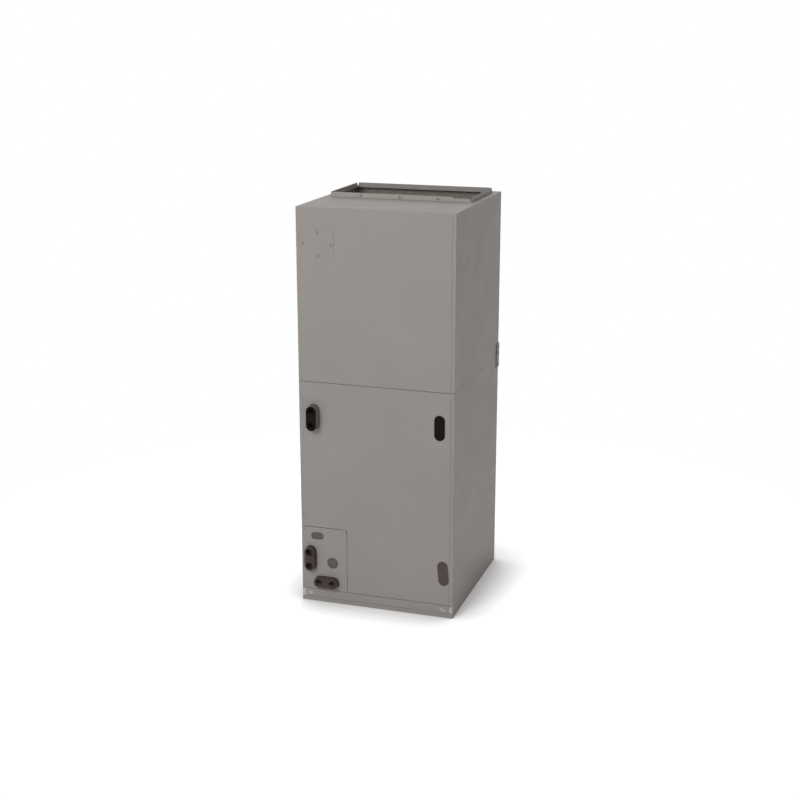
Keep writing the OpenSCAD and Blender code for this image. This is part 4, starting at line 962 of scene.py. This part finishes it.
class PinsOperator(bpy.types.Operator):
    """Pins the insulation with dished square washers"""
    bl_idname = "air_handler.pins"
    bl_label = "Insulation pins"

    half, thick = 15 * MM, 0.6 * MM
    brim, ring = 7 * MM, 4 * MM
    rise, dish = 0.9 * MM, 0.7 * MM
    pin_r, pin_length = 1.3 * MM, 1.6 * MM
    edge = 50 * MM
    foot = 0.16
    reach = 0.2
    covers = {"blower_panel_insulation": "breaker_cover", "coil_panel_insulation": "fitting_panel"}

    def washer(self):
        plate = cube((-self.half, -self.half, 0), (self.half, self.half, self.thick))
        choose(plate, lambda face: face.normal.z > 0.9)
        inset(self.brim, 0, 0, self.rise)
        inset(self.ring, 0, 0, -self.dish)
        mode("OBJECT")
        soften(plate, 0.25 * MM, 2, 1 * MM)
        pin = rod((0, 0, 0), (0, 0, self.pin_length), self.pin_r, 0.4 * MM, 12)
        return joined([plate, pin], "washer")

    def execute(self, context):
        gap = context.scene.air_handler_detail.pin_spacing
        low, high = corners("blower_panel_insulation")
        deep, edge = high.y - low.y, self.edge
        sets = {}
        for node, sides in (("coil_liner", (1,)), ("blower_liner", (1, -1))):
            low, high = corners(node)
            rows = steps(max(self.foot, low.z + edge), high.z - edge, gap)
            sets[node] = [facing((side * (high.x - deep), y, z), (-side, 0, 0)) for z in rows
                          for y in steps(low.y + edge, high.y - 2 * edge, gap) for side in sides]
            behind = rows if node == "blower_liner" else [high.z - edge]
            sets[node] += [facing((x, high.y - deep, z), (0, -1, 0)) for z in behind
                           for x in steps(-self.reach, self.reach, gap)]
        for node, cover in self.covers.items():
            low, high = corners(node)
            off_low, off_high = corners(cover)
            wide, tall = (off_low.x - edge, off_high.x + edge), (off_low.z - edge, off_high.z + edge)
            sets[node] = [
                facing((x, high.y, z), (0, 1, 0)) for z in steps(low.z + edge, high.z - edge, gap)
                for x in steps(low.x + 1.6 * edge, high.x - 1.6 * edge, gap)
                if not (wide[0] <= x <= wide[1] and tall[0] <= z <= tall[1])]
        pattern = self.washer()
        for node, places in sets.items():
            seat(spread(pattern, places, node + "_pins"), BODY_OF[node], "zinc")
        bpy.data.objects.remove(pattern)
        return {"FINISHED"}


class ControlsOperator(bpy.types.Operator):
    """Fits out the control board in place of its plain solid"""
    bl_idname = "air_handler.controls"
    bl_label = "Control board"

    # Shares across and up the board, then width, depth out of it and height in millimetres.
    PARTS = {
        "relays": ("motor", "plastic", [(across, 0.5, 22, 16, 34) for across in (0.1, 0.4, 0.7)]),
        "connectors": (
            "medium", "ceramic", ((0.08, 0.86, 30, 9, 8), (0.45, 0.86, 24, 9, 8), (0.06, 0.3, 8, 9, 20))),
        "resistors": ("medium", "ceramic", [(0.3, up, 16, 6, 5) for up in (0.34, 0.26, 0.18)]),
        "terminal_strip": ("plastic", "plastic", ((0.2, 0.03, 66, 11, 10),)),
        "fuse_piece": ("plastic", "fuse", ((0.84, 0.2, 5, 12, 14),)),
    }
    # Shares across and up the board, then radius and height in millimetres.
    CANS = ((0.58, 0.24, 5, 15), (0.7, 0.28, 4, 12), (0.62, 0.4, 3, 9))
    stand, thick = 8 * MM, 1.6 * MM
    corner, post_r, nut_r, nut_tall = 6 * MM, 3 * MM, 2.6 * MM, 1.5 * MM
    can_rim, can_dish = 0.9 * MM, 0.4 * MM
    tab_row, tab_step, tab_half, tab_tall, tab_thick = 0.78, 11 * MM, 3.1 * MM, 8 * MM, 0.8 * MM

    def execute(self, context):
        low, high = corners("control_board")
        back = high.y - self.stand
        face = back - self.thick
        plate = block((low.x, face, low.z), (high.x, back, high.z), 0.3 * MM)
        seat(named(plate, "board_plate"), "casing", "board")
        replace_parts(plate, "control_board")
        corner = self.corner
        posts_at = [
            (x, z) for x in (low.x + corner, high.x - corner) for z in (low.z + corner, high.z - corner)]
        posts = [rod((x, back, z), (x, high.y, z), self.post_r, 0.3 * MM, 6) for x, z in posts_at]
        posts += [
            rod((x, face - self.nut_tall, z), (x, face, z), self.nut_r, 0.5 * MM) for x, z in posts_at]
        seat(joined(posts, "board_posts"), "casing", "zinc")
        size = high - low
        for name, (slot, finish, places) in self.PARTS.items():
            made = []
            for across, up, wide, deep, tall in places:
                start = Vector((low.x + across * size.x, face - deep * MM, low.z + up * size.z))
                made.append(block(start, start + Vector((wide, deep, tall)) * MM, 0.5 * MM))
            seat(joined(made, name), "casing", slot, finish)
        cans = []
        for across, up, radius, tall in self.CANS:
            x, z = low.x + across * size.x, low.z + up * size.z
            can = rod((x, face, z), (x, face - tall * MM, z), radius * MM, 0.4 * MM, 24)
            choose(can, lambda part: part.normal.y < -0.99)
            inset(self.can_rim, 0, self.can_dish, 0)
            mode("OBJECT")
            cans.append(can)
        seat(joined(cans, "board_cans"), "casing", "motor")
        tabs = []
        z = low.z + self.tab_row * size.z
        for x in steps(low.x + 3 * corner, high.x - 3 * corner, self.tab_step):
            near = (x - self.tab_half, face - self.tab_tall, z)
            tabs.append(block(near, (x + self.tab_half, face, z + self.tab_thick), 0.25 * MM))
        across, up, wide, deep, tall = self.PARTS["terminal_strip"][2][0]
        start, z = low.x + across * size.x, low.z + up * size.z + tall / 2 * MM
        for x in steps(start, start + wide * MM, self.tab_step):
            ends = [(x, face - (deep + proud) * MM, z) for proud in (0.6, -0.2)]
            tabs.append(rod(*ends, self.post_r, 0.3 * MM, 12))
        seat(joined(tabs, "board_terminals"), "casing", "zinc", "clip")
        return {"FINISHED"}


class MotorOperator(bpy.types.Operator):
    """Adds the motor's through bolts and raised vents, and the capacitor's rim"""
    bl_idname = "air_handler.motor"
    bl_label = "Motor trim"

    vents = 12
    vent = (9 * MM, 2.6 * MM, 2.2 * MM, 1)
    # Shares of the motor's radius, and of half a vent's length where it is cut open.
    bolts_at, vents_at, opening = 0.8, 0.985, -0.45
    bolt_r, bolt_reach = 3.4 * MM, 3 * MM
    rim_r, rim_inset, rim_gap = 0.9 * MM, 1.6 * MM, 0.4 * MM
    rim_low, rim_high = 7.6 * MM, 0.6 * MM

    def execute(self, context):
        low, high = corners("motor")
        middle, radius = (low + high) / 2, (high.z - low.z) / 2
        vents, bolts = [], []
        for i in range(self.vents):
            angle = 2 * math.pi * (i + 0.5) / self.vents
            out = Vector((0, math.cos(angle), math.sin(angle)))
            if i % 3 == 1:
                _, y, z = middle + out * radius * self.bolts_at
                ends = [(high.x + end, y, z) for end in (-self.bolt_reach, self.bolt_reach)]
                bolts.append(rod(*ends, self.bolt_r, 0.5 * MM, 6))
            bpy.ops.mesh.primitive_uv_sphere_add(segments=16, ring_count=8, radius=1)
            hood = bpy.context.object
            place = facing(middle + out * radius * self.vents_at, out)
            hood.matrix_world = place @ Matrix.Diagonal(self.vent)
            choose(hood, lambda face: face.center.x < self.opening)
            bpy.ops.mesh.delete(type="FACE")
            close_rim(hood)
            mode("OBJECT")
            smooth(50)
            vents.append(hood)
        seat(joined(vents, "motor_vents"), "blower", "motor")
        seat(joined(bolts, "motor_bolts"), "blower", "steel")

        low, high = corners("run_capacitor")
        middle, ring_r = (low + high) / 2, (high.z - low.z) / 2 - self.rim_inset
        rings = []
        for y in (low.y + self.rim_low, high.y - self.rim_high):
            bpy.ops.mesh.primitive_torus_add(
                major_radius=ring_r, minor_radius=self.rim_r, major_segments=48, minor_segments=8,
                location=(high.x - ring_r - self.rim_gap, y, middle.z), rotation=(math.pi / 2, 0, 0))
            smooth(60)
            rings.append(bpy.context.object)
        seat(joined(rings, "capacitor_rims"), "blower", "steel")
        return {"FINISHED"}


class FilterOperator(bpy.types.Operator):
    """Folds the filter's medium in fine pleats and lays a wire grid behind it"""
    bl_idname = "air_handler.filter"
    bl_label = "Filter medium"

    thick = 1.6 * MM
    wire_r, wire_step = 0.5 * MM, 50 * MM

    def execute(self, context):
        low, high = corners("filter_media")
        folds = 2 * int((high.y - low.y) / context.scene.air_handler_detail.pleat_step)
        bpy.ops.mesh.primitive_grid_add(
            x_subdivisions=1, y_subdivisions=folds, size=1, location=(low + high) / 2)
        medium = bpy.context.object
        medium.scale = (high.x - low.x, high.y - low.y - self.thick, 1)
        bpy.ops.object.transform_apply()
        first, last = span([v.co for v in medium.data.vertices])
        deep = last.y - first.y
        rise = (high.z - low.z) / 2 - self.thick
        for odd, way in ((1, 1), (0, -1)):
            choose(medium, lambda v: round((v.co.y - first.y) / deep * folds) % 2 == odd, "VERT")
            bpy.ops.transform.translate(value=(0, 0, way * rise))
            mode("OBJECT")
        applied(medium, "SOLIDIFY", thickness=self.thick / 2, offset=0)
        smooth(20)
        seat(named(medium, "filter_medium_pleats"), "filter", "medium")
        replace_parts(medium, "filter_media")
        z = high.z - 0.6 * MM
        wires = [((x, low.y, z), (x, high.y, z)) for x in steps(low.x, high.x, self.wire_step)]
        wires += [((low.x, y, z), (high.x, y, z)) for y in steps(low.y, high.y, self.wire_step)]
        wires = [rod(start, end, self.wire_r, 0.1 * MM, 6) for start, end in wires]
        seat(joined(wires, "filter_wires"), "filter", "zinc")
        return {"FINISHED"}


class StageOperator(bpy.types.Operator):
    """Sets the floor, the lamps and the camera"""
    bl_idname = "air_handler.stage"
    bl_label = "Stage"

    # Place, target, width and height of each lamp.
    LAMPS = {
        "key": ((-1.0, -4.0, 3.1), (0, 0, 0.9), 1.8, 1.8),
        "fill": ((4.0, -0.6, 1.8), (0, 0, 0.7), 2.0, 2.4),
        "back": ((-1.0, 4.6, 3.2), (0, 0, 0.8), 3.2, 3.2),
        "top": ((-0.3, 0.2, 4.2), (0, 0, 0.5), 3.0, 3.0),
    }
    white = rgb((1, 1, 1))
    floor_size = 60
    contact_reach = 0.2
    fade_start, fade_end = 0.8, 1.9

    def floor(self, glow):
        """A matt floor that the camera sees as white but for the shadow around the object's foot."""
        bpy.ops.mesh.primitive_plane_add(size=self.floor_size)
        floor = named(bpy.context.object, "floor")
        finish = Finish("pale_floor")
        grain = finish.mix(finish.noise(40), rgb((0.86, 0.86, 0.86)), rgb((0.88, 0.88, 0.88)))
        matt = finish.node("ShaderNodeBsdfDiffuse", {"Color": grain})
        # The glow that lifts the floor to white is darkened by ambient occlusion near the object's foot: a
        # painted contact shadow, added to the real shadow on the matt floor.
        nearby = finish.node(
            "ShaderNodeAmbientOcclusion", {"Distance": self.contact_reach}, {"samples": 12}, out="AO")
        shadowed_glow = finish.mix(finish.reach(nearby, 0.5, 1.0), rgb((0.12, 0.12, 0.12)), self.white)
        lifted = finish.node("ShaderNodeEmission", {"Color": shadowed_glow, "Strength": glow})
        away = finish.node("ShaderNodeVectorMath", {0: finish.place}, {"operation": "LENGTH"}, "Value")
        shown = finish.node("ShaderNodeMixShader", {
            0: finish.reach(away, self.fade_start, self.fade_end),
            1: finish.node("ShaderNodeAddShader", {0: matt, 1: lifted}),
            2: finish.node("ShaderNodeEmission", {"Color": self.white, "Strength": 1.0})})
        both = finish.node("ShaderNodeMixShader", {0: finish.seen(), 1: matt, 2: shown})
        floor.data.materials.append(finish.close(both))

    def execute(self, context):
        scene = context.scene
        chosen = scene.air_handler_stage
        alone()
        self.floor(chosen.floor_glow)

        scene.world = bpy.data.worlds.new("white_room")
        scene.world.use_nodes = True
        room = Nodes(scene.world.node_tree)
        sky = room.node("ShaderNodeBackground", {
            "Color": self.white, "Strength": room.reach(room.seen(), 0, 1, chosen.sky, 1.0)})
        room.node("ShaderNodeOutputWorld", {"Surface": sky})

        for name, (place, target, width, height) in self.LAMPS.items():
            bpy.ops.object.light_add(type="AREA", location=place)
            lamp = bpy.context.object
            lamp.name = f"{name}_lamp"
            lamp.data.energy = getattr(chosen, f"{name}_power")
            lamp.data.shape = "RECTANGLE"
            lamp.data.size, lamp.data.size_y = width, height
            lamp.visible_glossy = name != "back"
            lamp.rotation_euler = (Vector(target) - Vector(place)).to_track_quat("-Z", "Y").to_euler()

        bpy.ops.object.camera_add(location=chosen.camera_place)
        camera = bpy.context.object
        camera.rotation_euler = Euler((math.pi / 2 - chosen.tilt_angle, 0, chosen.pan_angle))
        camera.data.lens = chosen.lens
        camera.data.sensor_width = 36
        scene.camera = camera
        scene.view_settings.view_transform = "Standard"
        return {"FINISHED"}


class AirHandlerPanel(bpy.types.Panel):
    """Lists the steps and their settings"""
    bl_idname = "VIEW3D_PT_air_handler"
    bl_label = "Air handler"
    bl_space_type = "VIEW_3D"
    bl_region_type = "UI"
    bl_category = "Air handler"

    def draw(self, context):
        for name in ("air_handler_finish", "air_handler_detail", "air_handler_stage"):
            box = self.layout.box()
            group = getattr(context.scene, name)
            for key in group.bl_rna.properties.keys():
                if key not in ("rna_type", "name"):
                    box.prop(group, key)
        for operator in ORDER:
            self.layout.operator(operator.bl_idname)


GROUPS = {
    "air_handler_finish": AirHandlerFinish,
    "air_handler_detail": AirHandlerDetail,
    "air_handler_stage": AirHandlerStage,
}
ORDER = (
    FinishOperator, SheetsOperator, MouldingsOperator, ScrewsOperator, ThreadsOperator,
    BlanketsOperator, SealOperator, CoilOperator, PinsOperator, ControlsOperator, MotorOperator,
    FilterOperator, StageOperator)


def register():
    for name, group in GROUPS.items():
        bpy.utils.register_class(group)
        setattr(bpy.types.Scene, name, bpy.props.PointerProperty(type=group))
    for operator in ORDER:
        bpy.utils.register_class(operator)
    bpy.utils.register_class(AirHandlerPanel)


def unregister():
    bpy.utils.unregister_class(AirHandlerPanel)
    for operator in reversed(ORDER):
        bpy.utils.unregister_class(operator)
    for name, group in GROUPS.items():
        delattr(bpy.types.Scene, name)
        bpy.utils.unregister_class(group)


def main():
    """Builds everything in order."""
    register()
    for operator in ORDER:
        getattr(bpy.ops.air_handler, operator.bl_idname.split(".")[1])()


if __name__ == "__main__":
    main()
